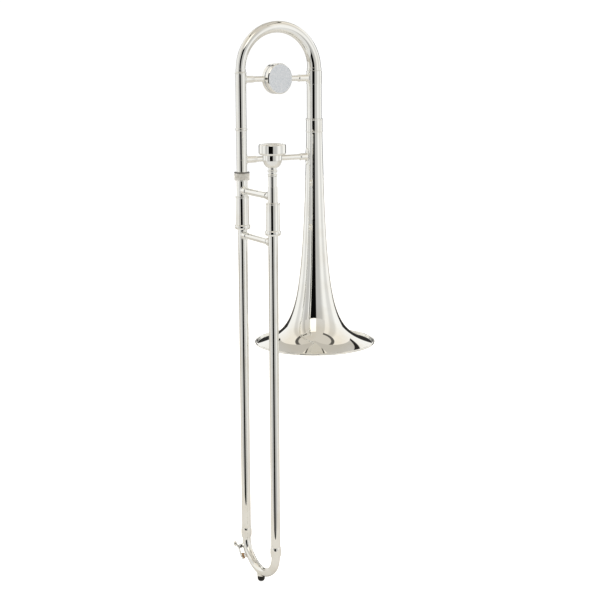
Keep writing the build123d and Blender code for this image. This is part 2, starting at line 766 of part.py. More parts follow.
# The halves meet on a plane through the brace, turned a little towards the bell.
def make_counterweight():
    turn = radians(weight_turn)
    middle = (weight_x, 0, upper_brace_height)
    across = (cos(turn), sin(turn), 0)
    front = Plane(origin=middle, x_dir=across, z_dir=(sin(turn), -cos(turn), 0))
    back = Plane(origin=middle, x_dir=across, z_dir=(-sin(turn), cos(turn), 0))
    head_height = weight_screw_radius
    head_seat = back.offset(weight_half - head_height - solder_gap)
    shank_length = weight_screw_length - head_height
    front_reach = shank_length - (weight_half - head_height)
    write(counterweight_half(front, front_reach + seat_gap, False), "counterweight_front")
    write(counterweight_half(back, weight_half, True), "counterweight_back")
    for label, offset in (("upper", weight_screw_offset), ("lower", -weight_screw_offset)):
        with BuildPart() as counterweight_screw:
            with BuildSketch(head_seat):
                with Locations((0, offset)):
                    Circle(weight_screw_head)
            extrude(amount=head_height)
            with BuildSketch(head_seat.offset(head_height / 2)):
                with Locations((0, offset)):
                    Rectangle(2 * weight_screw_head, head_height / 2)
            extrude(amount=head_height, mode=Mode.SUBTRACT)
            with BuildSketch(head_seat):
                with Locations((0, offset)):
                    Circle(weight_screw_radius)
            extrude(amount=-shank_length)
        write(counterweight_screw, f"counterweight_screw_{label}")


# The outer slide's two straight tubes and the ferrules that join them to the crook.
def make_outer_tubes():
    for side, at in (("neck", neck_axis), ("mouthpiece", mouth_axis)):
        outer = tube(at, outer_tube_radius, outer_bore, crook_top, outer_tube_top)
        write(outer, f"outer_tube_{side}")
        wide = outer_tube_radius + solder_gap
        slim = crook_radius + solder_gap
        rim = wide + crook_wall
        low = crook_start
        high = low + crook_ferrule_height
        with BuildPart() as ferrule:
            with BuildSketch(upright(at)):
                with BuildLine():
                    Polyline((rim, high), (wide, high), (wide, crook_top),
                             (slim, crook_top), (slim, low), (rim, low))
                    ThreePointArc((rim, low), (wide + crook_ferrule_rise, (low + high) / 2), (rim, high))
                make_face()
            revolve(axis=upright_axis(at))
        write(ferrule, f"crook_ferrule_{side}")


# The crook's centre line, from the neck side down, across and up again.
def crook_line():
    half = slide_spacing / 2
    share = tan(radians(45 - corner_turn / 2))
    corner = (crook_drop - half * share) / (1 - share)
    base = corner + (half - corner) / cos(radians(corner_turn))
    with BuildLine(Plane.YZ.offset(-neck_spacing)) as path:
        down = Line((0, crook_top), (0, crook_start))
        first = JernArc(down @ 1, down % 1, corner, -corner_turn)
        floor = JernArc(first @ 1, first % 1, base, -(180 - 2 * corner_turn))
        last = JernArc(floor @ 1, floor % 1, corner, -corner_turn)
        Line(last @ 1, (-slide_spacing, crook_top))
    return path, corner


# The solid that fills the crook's centre line to a radius, for cutting what sits on it.
def crook_core(path, radius):
    with BuildPart() as core:
        with BuildSketch(Plane(origin=path.line @ 0, z_dir=path.line % 0)):
            Circle(radius)
        sweep(path=path.line)
    return core


# The water key's own frame: X up the crook, Y across it and Z away from it.
def key_frame(corner):
    turn = radians(key_turn)
    side = radians(key_side)
    on_line = (-neck_spacing, -corner * (1 - cos(turn)), crook_start - corner * sin(turn))
    up_tube = (0, sin(turn), cos(turn))
    away = (-sin(side), cos(side) * cos(turn), -cos(side) * sin(turn))
    return Plane(origin=on_line, x_dir=up_tube, z_dir=away)


def make_crook():
    path, corner = crook_line()
    frame = key_frame(corner)
    drain = frame * Location((key_pad_along, 0, 0))
    with BuildPart() as crook:
        with BuildSketch(Plane(origin=path.line @ 0, z_dir=path.line % 0)):
            Circle(crook_radius)
            Circle(crook_radius - crook_wall, mode=Mode.SUBTRACT)
        sweep(path=path.line)
        with BuildSketch(Plane(drain)):
            Circle(key_nipple_bore)
        extrude(amount=key_nipple_height, mode=Mode.SUBTRACT)
    write(crook, "crook")
    return path, frame


# The rubber bumper and the metal socket that holds it under the crook.
def make_bumper(path):
    core = crook_core(path, crook_radius + solder_gap)
    middle = (-neck_spacing, -slide_spacing / 2)
    crook_floor = crook_start - crook_drop - crook_radius
    tip = crook_floor - bumper_length
    rim = crook_floor - bumper_socket_height
    root = crook_floor + crook_radius / 2
    with BuildPart() as rubber_bumper:
        with BuildSketch(upright(middle)):
            with BuildLine():
                Line((0, tip), (bumper_radius - bumper_round, tip))
                RadiusArc((bumper_radius - bumper_round, tip), (bumper_radius, tip + bumper_round),
                          -bumper_round)
                Polyline((bumper_radius, tip + bumper_round), (bumper_radius, root), (0, root), (0, tip))
            make_face()
        revolve(axis=upright_axis(middle))
        add(core.part, mode=Mode.SUBTRACT)
    write(rubber_bumper, "rubber_bumper")
    socket_bore = bumper_radius + solder_gap
    with BuildPart() as bumper_socket:
        with BuildSketch(Plane(origin=(*middle, rim))):
            Circle(socket_bore + bumper_socket_wall)
            Circle(socket_bore, mode=Mode.SUBTRACT)
        extrude(amount=root - rim)
        add(core.part, mode=Mode.SUBTRACT)
    write(bumper_socket, "bumper_socket")


# A plane square to the water key's hinge, centred on it, at a distance along the hinge.
def hinge_plane(frame, across):
    centre = frame.from_local_coords((key_hinge_along, across, key_hinge_height))
    return Plane(origin=centre, x_dir=frame.x_dir, z_dir=-frame.y_dir)


# The saddle holds the hinge's two posts and the drain's nipple in one casting.
def make_key_saddle(path, frame):
    core = crook_core(path, crook_radius + solder_gap)
    skin = crook_core(path, crook_radius + saddle_thickness)
    reach = key_hinge_along - key_pad_along
    post_outer = key_barrel_half + 4 * solder_gap + key_post_thickness
    post_height = key_hinge_height - crook_radius / 2
    with BuildPart() as water_key_saddle:
        with BuildSketch(frame.offset(crook_radius / 2)):
            with Locations((key_hinge_along - reach / 2, 0)):
                SlotCenterToCenter(reach, 2 * key_nipple_radius + 2 * saddle_thickness)
        extrude(amount=crook_radius)
        add(skin.part, mode=Mode.INTERSECT)
        for across in (post_outer, -post_outer + key_post_thickness):
            with BuildSketch(hinge_plane(frame, across)):
                Circle(key_post_width / 2)
                with Locations((0, -post_height / 2)):
                    Rectangle(key_post_width, post_height)
                Circle(key_screw_radius + solder_gap, mode=Mode.SUBTRACT)
            extrude(amount=key_post_thickness)
        with BuildSketch(frame.offset(crook_radius / 2)):
            with Locations((key_pad_along, 0)):
                Circle(key_nipple_radius)
        extrude(amount=key_nipple_height - crook_radius / 2)
        with BuildSketch(frame):
            with Locations((key_pad_along, 0)):
                Circle(key_nipple_bore)
        extrude(amount=key_nipple_height, mode=Mode.SUBTRACT)
        add(core.part, mode=Mode.SUBTRACT)
    write(water_key_saddle, "water_key_saddle")
    return post_outer


# The hinge's screw, with a slotted head, and the closing spring wound round it.
def make_key_hinge(frame, post_outer):
    head = key_screw_head_height
    with BuildPart() as water_key_screw:
        with BuildSketch(hinge_plane(frame, post_outer)):
            Circle(key_screw_radius)
        extrude(amount=2 * post_outer)
        with BuildSketch(hinge_plane(frame, post_outer + solder_gap)):
            Circle(key_screw_head)
        extrude(amount=-head)
        with BuildSketch(hinge_plane(frame, post_outer + solder_gap + head / 2)):
            Rectangle(2 * key_screw_head, head / 3)
        extrude(amount=-head / 2, mode=Mode.SUBTRACT)
        with BuildSketch(hinge_plane(frame, post_outer + solder_gap)):
            Circle(key_screw_radius)
        extrude(amount=solder_gap)
    write(water_key_screw, "water_key_screw")
    leg_foot = crook_radius + saddle_thickness + solder_gap
    leg_along = key_hinge_along + (key_spring_radius + key_screw_radius) / 2
    leg_at = frame.offset(leg_foot) * Location((leg_along, 0, 0))
    with BuildPart() as water_key_spring:
        with BuildSketch(hinge_plane(frame, key_spring_half)):
            Circle(key_spring_radius)
            Circle(key_screw_radius + solder_gap, mode=Mode.SUBTRACT)
        extrude(amount=2 * key_spring_half)
        with BuildSketch(Plane(leg_at)):
            Circle(key_spring_leg)
        extrude(amount=key_hinge_height - leg_foot)
    write(water_key_spring, "water_key_spring")


# The lever: two hinge barrels, an arm that ends in the pad's cup, and a touch piece with its button.
def make_key_lever(frame):
    pad_reach = key_pad_along - key_hinge_along
    arm_low = key_arm_lift
    arm_high = arm_low + key_arm_thickness
    cork_top = key_cork_base + key_cork_height
    cup_low = cork_top - key_cork_height / 2
    cup_top = key_hinge_height + arm_low + solder_gap
    touch_low = (key_touch_length, key_touch_rise)
    touch_high = (key_touch_length, key_touch_rise + key_arm_thickness)
    climb = (key_touch_rise - arm_low) / (key_touch_length - key_barrel_radius)
    plate_rise = arm_low + climb * (key_touch_start - key_barrel_radius)
    plate_low = (key_touch_start, plate_rise)
    plate_high = (key_touch_start, plate_rise + key_arm_thickness)
    with BuildPart() as water_key_lever:
        with BuildSketch(hinge_plane(frame, key_arm_width / 2)):
            Polygon((pad_reach, arm_low), (key_barrel_radius, arm_low), touch_low, touch_high,
                    (key_barrel_radius - key_arm_lift, arm_high), (pad_reach, arm_high), align=None)
        extrude(amount=key_arm_width)
        with BuildSketch(hinge_plane(frame, key_touch_width / 2)):
            Polygon(plate_low, touch_low, touch_high, plate_high, align=None)
        extrude(amount=key_touch_width)
        with BuildSketch(frame.offset(key_hinge_height + key_touch_rise)):
            with Locations((key_hinge_along + key_touch_length, 0)):
                Circle(key_button_radius)
        extrude(amount=key_button_height)
        with BuildSketch(hinge_plane(frame, key_barrel_half)):
            Circle(key_barrel_radius)
        extrude(amount=2 * key_barrel_half)
        with BuildSketch(frame.offset(cup_low)):
            with Locations((key_pad_along, 0)):
                Circle(key_cork_radius + key_cup_wall)
        extrude(amount=cup_top - cup_low)
        with BuildSketch(frame.offset(cup_low)):
            with Locations((key_pad_along, 0)):
                Circle(key_cork_radius + solder_gap)
        extrude(amount=cork_top + solder_gap - cup_low, mode=Mode.SUBTRACT)
        with BuildSketch(hinge_plane(frame, key_barrel_half)):
            Circle(key_screw_radius + running_gap)
        extrude(amount=2 * key_barrel_half, mode=Mode.SUBTRACT)
        with BuildSketch(hinge_plane(frame, key_spring_half + running_gap)):
            Circle(key_barrel_radius)
        extrude(amount=2 * (key_spring_half + running_gap), mode=Mode.SUBTRACT)
    write(water_key_lever, "water_key_lever")
    with BuildPart() as water_key_cork:
        with BuildSketch(frame.offset(key_cork_base)):
            with Locations((key_pad_along, 0)):
                Circle(key_cork_radius)
        extrude(amount=key_cork_height)
    write(water_key_cork, "water_key_cork")


make_bell()
make_bell_ferrule()
make_tuning_sleeves()
make_neck()
make_neck_socket()
make_lock_nut()
neck_tube_high = make_slide_tenon()
make_inner_slide(neck_tube_high)
make_slide_lock()
make_receiver()
make_mouthpiece()
make_tuning_bow()
make_tuning_legs()
make_bell_braces()
make_slide_braces()
make_counterweight()
make_outer_tubes()
crook_path, key_plane = make_crook()
make_bumper(crook_path)
post_outer = make_key_saddle(crook_path, key_plane)
make_key_hinge(key_plane, post_outer)
make_key_lever(key_plane)
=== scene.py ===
import json
import bpy
import bmesh
from math import atan2, cos, pi, radians, sin, sqrt, tan
from mathutils import Matrix, Vector


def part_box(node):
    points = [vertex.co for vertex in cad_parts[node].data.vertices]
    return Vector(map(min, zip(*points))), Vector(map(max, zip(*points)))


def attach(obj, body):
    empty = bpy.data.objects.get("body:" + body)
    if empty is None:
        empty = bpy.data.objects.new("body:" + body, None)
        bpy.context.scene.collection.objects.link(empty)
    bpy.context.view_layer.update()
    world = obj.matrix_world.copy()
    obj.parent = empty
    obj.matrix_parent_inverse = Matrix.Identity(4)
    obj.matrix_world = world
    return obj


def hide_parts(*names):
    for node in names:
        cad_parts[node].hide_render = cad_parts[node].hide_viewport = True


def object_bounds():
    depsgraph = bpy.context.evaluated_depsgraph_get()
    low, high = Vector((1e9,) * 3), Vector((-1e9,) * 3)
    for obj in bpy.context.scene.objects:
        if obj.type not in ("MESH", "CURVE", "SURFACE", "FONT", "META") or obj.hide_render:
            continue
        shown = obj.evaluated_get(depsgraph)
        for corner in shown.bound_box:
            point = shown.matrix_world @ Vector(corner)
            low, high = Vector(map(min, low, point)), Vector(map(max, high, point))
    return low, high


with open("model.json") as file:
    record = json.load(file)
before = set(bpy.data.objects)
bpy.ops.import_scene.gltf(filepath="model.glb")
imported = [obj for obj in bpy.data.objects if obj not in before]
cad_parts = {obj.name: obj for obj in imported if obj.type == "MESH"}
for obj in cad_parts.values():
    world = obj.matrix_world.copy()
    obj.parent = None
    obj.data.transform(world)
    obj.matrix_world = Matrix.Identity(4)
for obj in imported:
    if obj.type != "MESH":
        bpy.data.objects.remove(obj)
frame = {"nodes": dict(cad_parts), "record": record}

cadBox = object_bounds()
mm = 0.001
bodyOf = {node: body for body, nodes in frame["record"]["behaviour"]["bodies"].items() for node in nodes}
slotOf = {part["node"]: part["material_slot"] for part in frame["record"]["subparts"]}


# sRGB hex to the linear values that shaders take
def colour(code):
    channels = [int(code[i:i + 2], 16) / 255 for i in (0, 2, 4)]
    return [c / 12.92 if c <= 0.04045 else ((c + 0.055) / 1.055) ** 2.4 for c in channels] + [1.0]


# one node with its settings; an input takes a value, or a link from another node's output
def addNode(tree, kind, inputs=None, stops=(), **settings):
    node = tree.nodes.new(kind)
    for name, value in settings.items():
        setattr(node, name, value)
    for name, value in (inputs or {}).items():
        if isinstance(value, bpy.types.NodeSocket):
            tree.links.new(value, node.inputs[name])
        else:
            node.inputs[name].default_value = value
    for i, (position, tone) in enumerate(stops):
        stop = node.color_ramp.elements[i] if i < 2 else node.color_ramp.elements.new(1.0)
        stop.position = position
        stop.color = tone
    return node


def startMaterial(name, metallic, roughness, code):
    material = bpy.data.materials.new(name)
    material.use_nodes = True
    shader = material.node_tree.nodes["Principled BSDF"]
    shader.inputs["Metallic"].default_value = metallic
    shader.inputs["Roughness"].default_value = roughness
    shader.inputs["Base Color"].default_value = colour(code)
    place = addNode(material.node_tree, "ShaderNodeTexCoord").outputs["Object"]
    return material, material.node_tree, shader, place


silverLook = {"bright": "F8F8F5", "warm": "F1EEE6", "bloom": 26.0, "haze": 1.6, "smooth": 0.018,
              "dull": 0.045, "ripple": 9.0, "rippleDepth": 0.0035, "buffing": 0.22, "buffingDepth": 0.0006}


# silver plate buffed on a wheel: a hard mirror, a breath of warm tarnish and fine buffing lines
def makeSilverPlate():
    look = silverLook
    material, tree, shader, place = startMaterial("buffedSilverPlate", 1.0, 0.05, look["bright"])
    bloom = addNode(tree, "ShaderNodeTexNoise",
                    {"Scale": 1000 / look["bloom"], "Detail": 3.0, "Vector": place})
    tint = addNode(tree, "ShaderNodeValToRGB",
                   {"Fac": bloom.outputs["Fac"]},
                   stops=((0.48, colour(look["bright"])), (0.86, colour(look["warm"]))))
    tree.links.new(tint.outputs["Color"], shader.inputs["Base Color"])
    haze = addNode(tree, "ShaderNodeTexNoise",
                   {"Scale": 1000 / look["haze"], "Detail": 4.0, "Vector": place})
    rough = addNode(tree, "ShaderNodeMapRange",
                    {"From Min": 0.35, "From Max": 0.75, "To Min": look["smooth"], "To Max": look["dull"],
                     "Value": haze.outputs["Fac"]})
    tree.links.new(rough.outputs["Result"], shader.inputs["Roughness"])
    lengthwise = addNode(tree, "ShaderNodeMapping", {"Scale": (1.0, 1.0, 0.04), "Vector": place})
    lines = addNode(tree, "ShaderNodeTexNoise",
                    {"Scale": 1000 / look["buffing"], "Detail": 2.0,
                     "Vector": lengthwise.outputs["Vector"]})
    fine = addNode(tree, "ShaderNodeBump",
                   {"Strength": 0.35, "Distance": look["buffingDepth"] * mm,
                    "Height": lines.outputs["Fac"]})
    wave = addNode(tree, "ShaderNodeTexNoise",
                   {"Scale": 1000 / look["ripple"], "Detail": 1.0, "Vector": place})
    soft = addNode(tree, "ShaderNodeBump",
                   {"Strength": 0.5, "Distance": look["rippleDepth"] * mm, "Height": wave.outputs["Fac"],
                    "Normal": fine.outputs["Normal"]})
    tree.links.new(soft.outputs["Normal"], shader.inputs["Normal"])
    return material


knurlLook = {"bright": "FBF9F4", "dull": "E6E2D9", "patch": 2.2, "facet": 0.45, "facetDepth": 0.02}


# silver plate over a fine knurl: its small facets scatter the light, so it looks white and soft
def makeKnurledPlate():
    look = knurlLook
    material, tree, shader, place = startMaterial("knurledSilverPlate", 0.7, 0.5, look["bright"])
    patch = addNode(tree, "ShaderNodeTexNoise",
                    {"Scale": 1000 / look["patch"], "Detail": 3.0, "Vector": place})
    ramp = addNode(tree, "ShaderNodeValToRGB",
                   {"Fac": patch.outputs["Fac"]},
                   stops=((0.4, colour(look["bright"])), (0.75, colour(look["dull"]))))
    tree.links.new(ramp.outputs["Color"], shader.inputs["Base Color"])
    facets = addNode(tree, "ShaderNodeTexVoronoi", {"Scale": 1000 / look["facet"], "Vector": place})
    bump = addNode(tree, "ShaderNodeBump",
                   {"Strength": 0.4, "Distance": look["facetDepth"] * mm,
                    "Height": facets.outputs["Distance"]})
    tree.links.new(bump.outputs["Normal"], shader.inputs["Normal"])
    return material


nickelLook = {"light": "E4DFD0", "grey": "CFCABD", "wear": 6.0, "score": 0.16, "scoreDepth": 0.001}


# nickel silver tube, drawn and lapped: a greyer mirror with lengthwise scoring from the slide's travel
def makeNickelSilver():
    look = nickelLook
    material, tree, shader, place = startMaterial("lappedNickelSilver", 1.0, 0.1, look["light"])
    wear = addNode(tree, "ShaderNodeTexNoise",
                   {"Scale": 1000 / look["wear"], "Detail": 4.0, "Vector": place})
    ramp = addNode(tree, "ShaderNodeValToRGB",
                   {"Fac": wear.outputs["Fac"]},
                   stops=((0.3, colour(look["light"])), (0.75, colour(look["grey"]))))
    tree.links.new(ramp.outputs["Color"], shader.inputs["Base Color"])
    rough = addNode(tree, "ShaderNodeMapRange",
                    {"To Min": 0.07, "To Max": 0.17, "Value": wear.outputs["Fac"]})
    tree.links.new(rough.outputs["Result"], shader.inputs["Roughness"])
    along = addNode(tree, "ShaderNodeMapping", {"Scale": (1.0, 1.0, 0.02), "Vector": place})
    score = addNode(tree, "ShaderNodeTexNoise",
                    {"Scale": 1000 / look["score"], "Detail": 2.0, "Vector": along.outputs["Vector"]})
    bump = addNode(tree, "ShaderNodeBump",
                   {"Strength": 0.4, "Distance": look["scoreDepth"] * mm, "Height": score.outputs["Fac"]})
    tree.links.new(bump.outputs["Normal"], shader.inputs["Normal"])
    return material


brassLook = {"bright": "D9B36A", "brown": "9A6B35", "stain": 7.0}


# drawn brass tube left bare inside the instrument: yellow, with brown stains
def makeBareBrass():
    look = brassLook
    material, tree, shader, place = startMaterial("drawnBareBrass", 1.0, 0.3, look["bright"])
    stain = addNode(tree, "ShaderNodeTexNoise",
                    {"Scale": 1000 / look["stain"], "Detail": 6.0, "Vector": place})
    ramp = addNode(tree, "ShaderNodeValToRGB",
                   {"Fac": stain.outputs["Fac"]},
                   stops=((0.42, colour(look["bright"])), (0.7, colour(look["brown"]))))
    tree.links.new(ramp.outputs["Color"], shader.inputs["Base Color"])
    rough = addNode(tree, "ShaderNodeMapRange",
                    {"To Min": 0.2, "To Max": 0.5, "Value": stain.outputs["Fac"]})
    tree.links.new(rough.outputs["Result"], shader.inputs["Roughness"])
    return material


satinLook = {"light": "F1F4F9", "dark": "DFE5EC", "mottle": 1.7, "grit": 0.18, "gritDepth": 0.012}


# satin nickel plate over a bead-blasted weight: a flat bluish grey with a soft mottle
def makeSatinNickel():
    look = satinLook
    material, tree, shader, place = startMaterial("beadBlastedSatinNickel", 0.55, 0.6, look["light"])
    mottle = addNode(tree, "ShaderNodeTexNoise",
                     {"Scale": 1000 / look["mottle"], "Detail": 5.0, "Vector": place})
    ramp = addNode(tree, "ShaderNodeValToRGB",
                   {"Fac": mottle.outputs["Fac"]},
                   stops=((0.38, colour(look["dark"])), (0.62, colour(look["light"]))))
    tree.links.new(ramp.outputs["Color"], shader.inputs["Base Color"])
    rough = addNode(tree, "ShaderNodeMapRange",
                    {"From Min": 0.3, "From Max": 0.7, "To Min": 0.52, "To Max": 0.66,
                     "Value": mottle.outputs["Fac"]})
    tree.links.new(rough.outputs["Result"], shader.inputs["Roughness"])
    grit = addNode(tree, "ShaderNodeTexVoronoi", {"Scale": 1000 / look["grit"], "Vector": place})
    bump = addNode(tree, "ShaderNodeBump",
                   {"Strength": 0.5, "Distance": look["gritDepth"] * mm,
                    "Height": grit.outputs["Distance"]})
    tree.links.new(bump.outputs["Normal"], shader.inputs["Normal"])
    return material


steelLook = {"bright": "C9C7C2", "dark": "8C8A86", "turning": 0.12}


# turned steel of screws, wire and spring: grey, with fine lathe marks
def makeTurnedSteel():
    look = steelLook
    material, tree, shader, place = startMaterial("turnedSteel", 1.0, 0.25, look["bright"])
    marks = addNode(tree, "ShaderNodeTexNoise",
                    {"Scale": 1000 / look["turning"], "Detail": 3.0, "Vector": place})
    ramp = addNode(tree, "ShaderNodeValToRGB",
                   {"Fac": marks.outputs["Fac"]},
                   stops=((0.3, colour(look["dark"])), (0.6, colour(look["bright"]))))
    tree.links.new(ramp.outputs["Color"], shader.inputs["Base Color"])
    rough = addNode(tree, "ShaderNodeMapRange",
                    {"To Min": 0.15, "To Max": 0.35, "Value": marks.outputs["Fac"]})
    tree.links.new(rough.outputs["Result"], shader.inputs["Roughness"])
    return material


rubberLook = {"black": "161514", "scuff": "3A3836", "grain": 0.35, "scuffSize": 2.5}


# moulded black rubber: near black and dull, with grey scuffs
def makeMouldedRubber():
    look = rubberLook
    material, tree, shader, place = startMaterial("mouldedBlackRubber", 0.0, 0.55, look["black"])
    scuff = addNode(tree, "ShaderNodeTexNoise",
                    {"Scale": 1000 / look["scuffSize"], "Detail": 6.0, "Vector": place})
    ramp = addNode(tree, "ShaderNodeValToRGB",
                   {"Fac": scuff.outputs["Fac"]},
                   stops=((0.55, colour(look["black"])), (0.8, colour(look["scuff"]))))
    tree.links.new(ramp.outputs["Color"], shader.inputs["Base Color"])
    grain = addNode(tree, "ShaderNodeTexNoise",
                    {"Scale": 1000 / look["grain"], "Detail": 2.0, "Vector": place})
    bump = addNode(tree, "ShaderNodeBump",
                   {"Strength": 0.4, "Distance": 0.03 * mm, "Height": grain.outputs["Fac"]})
    tree.links.new(bump.outputs["Normal"], shader.inputs["Normal"])
    return material


corkLook = {"tan": "B98C5A", "brown": "6E4A2A", "cell": 0.8, "fleck": 0.35}


# pressed cork: tan cells with dark flecks
def makePressedCork():
    look = corkLook
    material, tree, shader, place = startMaterial("pressedCork", 0.0, 0.85, look["tan"])
    cells = addNode(tree, "ShaderNodeTexVoronoi", {"Scale": 1000 / look["cell"], "Vector": place})
    flecks = addNode(tree, "ShaderNodeTexNoise",
                     {"Scale": 1000 / look["fleck"], "Detail": 3.0, "Vector": place})
    ramp = addNode(tree, "ShaderNodeValToRGB",
                   {"Fac": flecks.outputs["Fac"]},
                   stops=((0.36, colour(look["brown"])), (0.5, colour(look["tan"]))))
    tree.links.new(ramp.outputs["Color"], shader.inputs["Base Color"])
    bump = addNode(tree, "ShaderNodeBump",
                   {"Strength": 0.6, "Distance": 0.1 * mm, "Height": cells.outputs["Distance"]})
    tree.links.new(bump.outputs["Normal"], shader.inputs["Normal"])
    return material


finishes = {"silver_plate": makeSilverPlate(), "nickel_silver": makeNickelSilver(),
            "bare_brass": makeBareBrass(), "satin_nickel": makeSatinNickel(), "steel": makeTurnedSteel(), "rubber": makeMouldedRubber(),
            "cork": makePressedCork()}
for node, piece in frame["nodes"].items():
    piece.data.materials.clear()
    piece.data.materials.append(finishes[slotOf[node]])
print("materials ready:", len(finishes))


# a tube or turned node's axis, radius and heights in mm, read from its box
def span(node):
    low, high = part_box(node)
    middle = (low + high) / 2 / mm
    radius = (high.x - low.x) / 2 / mm
    return {"at": (middle.x, middle.y), "radius": radius, "low": low.z / mm, "high": high.z / mm}


# gives a finished mesh its node's place in the assembly, finish and body
def install(piece, *nodes):
    slot = slotOf[nodes[0]]
    piece.data.materials.clear()
    piece.data.materials.append(finishes[slot])
    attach(piece, bodyOf[nodes[0]])
    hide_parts(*nodes)
    return piece


# an object's mesh becomes what its modifier makes of it
def applyModifier(piece, modifier):
    deps = bpy.context.evaluated_depsgraph_get()
    made = bpy.data.meshes.new_from_object(piece.evaluated_get(deps), depsgraph=deps)
    piece.modifiers.remove(modifier)
    piece.data = made


def meshObject(name, build, sharpAngle=38):
    mesh = bpy.data.meshes.new(name)
    build.normal_update()
    build.to_mesh(mesh)
    build.free()
    mesh.shade_smooth()
    mesh.set_sharp_from_angle(angle=radians(sharpAngle))
    piece = bpy.data.objects.new(name, mesh)
    bpy.context.scene.collection.objects.link(piece)
    return piece


# rounds each corner of a closed section by up to ease mm, so that every edge catches the light
def eased(corners, ease=0.12, steps=3):
    rounded = []
    count = len(corners)
    for i, (r, h) in enumerate(corners):
        here = Vector((r, h))
        back = Vector(corners[i - 1]) - here
        ahead = Vector(corners[(i + 1) % count]) - here
        cut = min(ease, back.length * 0.45, ahead.length * 0.45)
        if r < 1e-6 or cut < 0.01 or abs(back.angle(ahead) - pi) < 0.3:
            rounded.append((r, h))
            continue
        start = here + back.normalized() * cut
        end = here + ahead.normalized() * cut
        for step in range(steps + 1):
            t = step / steps
            spot = start * (1 - t) ** 2 + here * 2 * t * (1 - t) + end * t * t
            rounded.append((spot.x, spot.y))
    return rounded


# a half-round swelling between two heights
def bulge(radius, low, high, rise, steps=10):
    middle, half = (low + high) / 2, (high - low) / 2
    angles = [pi * k / steps for k in range(steps + 1)]
    return [(radius + rise * sin(angle), middle - half * cos(angle)) for angle in angles]


# a long straight wall gets a ring near each end, so that its shading stays true along its length
def braced(section, near=0.3, longest=3.0):
    points = []
    for here, ahead in zip(section, section[1:] + section[:1]):
        start, run = Vector(here), Vector(ahead) - Vector(here)
        points.append(tuple(here))
        if run.length > longest:
            points += [tuple(start + run.normalized() * near), tuple(start + run - run.normalized() * near)]
    return points


# turns a closed section (radius, height in mm) about an axis
def turn(name, section, at=(0.0, 0.0), sides=96, place=None):
    build = bmesh.new()
    rings = []
    for r, h in braced(section):
        if r < 1e-6:
            rings.append([build.verts.new((0, 0, h))] * sides)
        else:
            rings.append([build.verts.new((r * cos(2 * pi * k / sides), r * sin(2 * pi * k / sides), h))
                          for k in range(sides)])
    for i, ring in enumerate(rings):
        following = rings[(i + 1) % len(rings)]
        for k in range(sides):
            corners = [ring[k], ring[(k + 1) % sides], following[(k + 1) % sides], following[k]]
            distinct = list(dict.fromkeys(corners))
            if len(distinct) > 2:
                build.faces.new(distinct)
    placing = place or Matrix.Translation((at[0], at[1], 0))
    bmesh.ops.transform(build, matrix=Matrix.Scale(mm, 4) @ placing, verts=build.verts)
    bmesh.ops.remove_doubles(build, verts=build.verts, dist=1e-7)
    bmesh.ops.recalc_face_normals(build, faces=build.faces)
    return meshObject(name, build)


# a Geometry Nodes tree with one named input for each size and one for the finish
def startTree(name, sizes):
    tree = bpy.data.node_groups.new(name, "GeometryNodeTree")
    tree.interface.new_socket("Geometry", in_out="INPUT", socket_type="NodeSocketGeometry")
    for label, value in sizes.items():
        kind = "NodeSocketInt" if isinstance(value, int) else "NodeSocketFloat"
        tree.interface.new_socket(label, in_out="INPUT", socket_type=kind)
    tree.interface.new_socket("Finish", in_out="INPUT", socket_type="NodeSocketMaterial")
    tree.interface.new_socket("Geometry", in_out="OUTPUT", socket_type="NodeSocketGeometry")
    given = addNode(tree, "NodeGroupInput").outputs
    return tree, given


# every tree ends the same way: real geometry with its finish; grow shades it smooth afterwards
def endTree(tree, given, geometry):
    real = addNode(tree, "GeometryNodeRealizeInstances", {"Geometry": geometry})
    painted = addNode(tree, "GeometryNodeSetMaterial",
                      {"Geometry": real.outputs["Geometry"], "Material": given["Finish"]})
    addNode(tree, "NodeGroupOutput", {"Geometry": painted.outputs["Geometry"]})


# runs a tree on a carrier object and returns its result as a plain mesh object
def grow(name, tree, sizes, finish, carrier=None, sharpAngle=38):
    carrier = carrier or bpy.data.objects.new(name + "Carrier", bpy.data.meshes.new(name + "Carrier"))
    bpy.context.scene.collection.objects.link(carrier)
    modifier = carrier.modifiers.new("grow", "NODES")
    modifier.node_group = tree
    for item in tree.interface.items_tree:
        if item.item_type == "SOCKET" and item.in_out == "INPUT" and item.name in sizes:
            modifier[item.identifier] = sizes[item.name]
        if item.item_type == "SOCKET" and item.in_out == "INPUT" and item.name == "Finish":
            modifier[item.identifier] = finish
    bpy.context.view_layer.update()
    deps = bpy.context.evaluated_depsgraph_get()
    mesh = bpy.data.meshes.new_from_object(carrier.evaluated_get(deps), depsgraph=deps)
    carrier.modifiers.remove(modifier)
    bpy.data.objects.remove(carrier)
    build = bmesh.new()
    build.from_mesh(mesh)
    bpy.data.meshes.remove(mesh)
    bmesh.ops.remove_doubles(build, verts=build.verts, dist=2e-6)
    bmesh.ops.recalc_face_normals(build, faces=build.faces)
    return meshObject(name, build, sharpAngle)


# the bell's horn follows one rule, radius = rim * (knee / (height + knee)) ** power

bellSizes = {"Knee": 13.0 * mm, "Power": 0.638, "Wall": 0.5 * mm, "Lip": 0.35 * mm, "Crowding": 2.3,
             "Steps": 150, "Sides": 224}


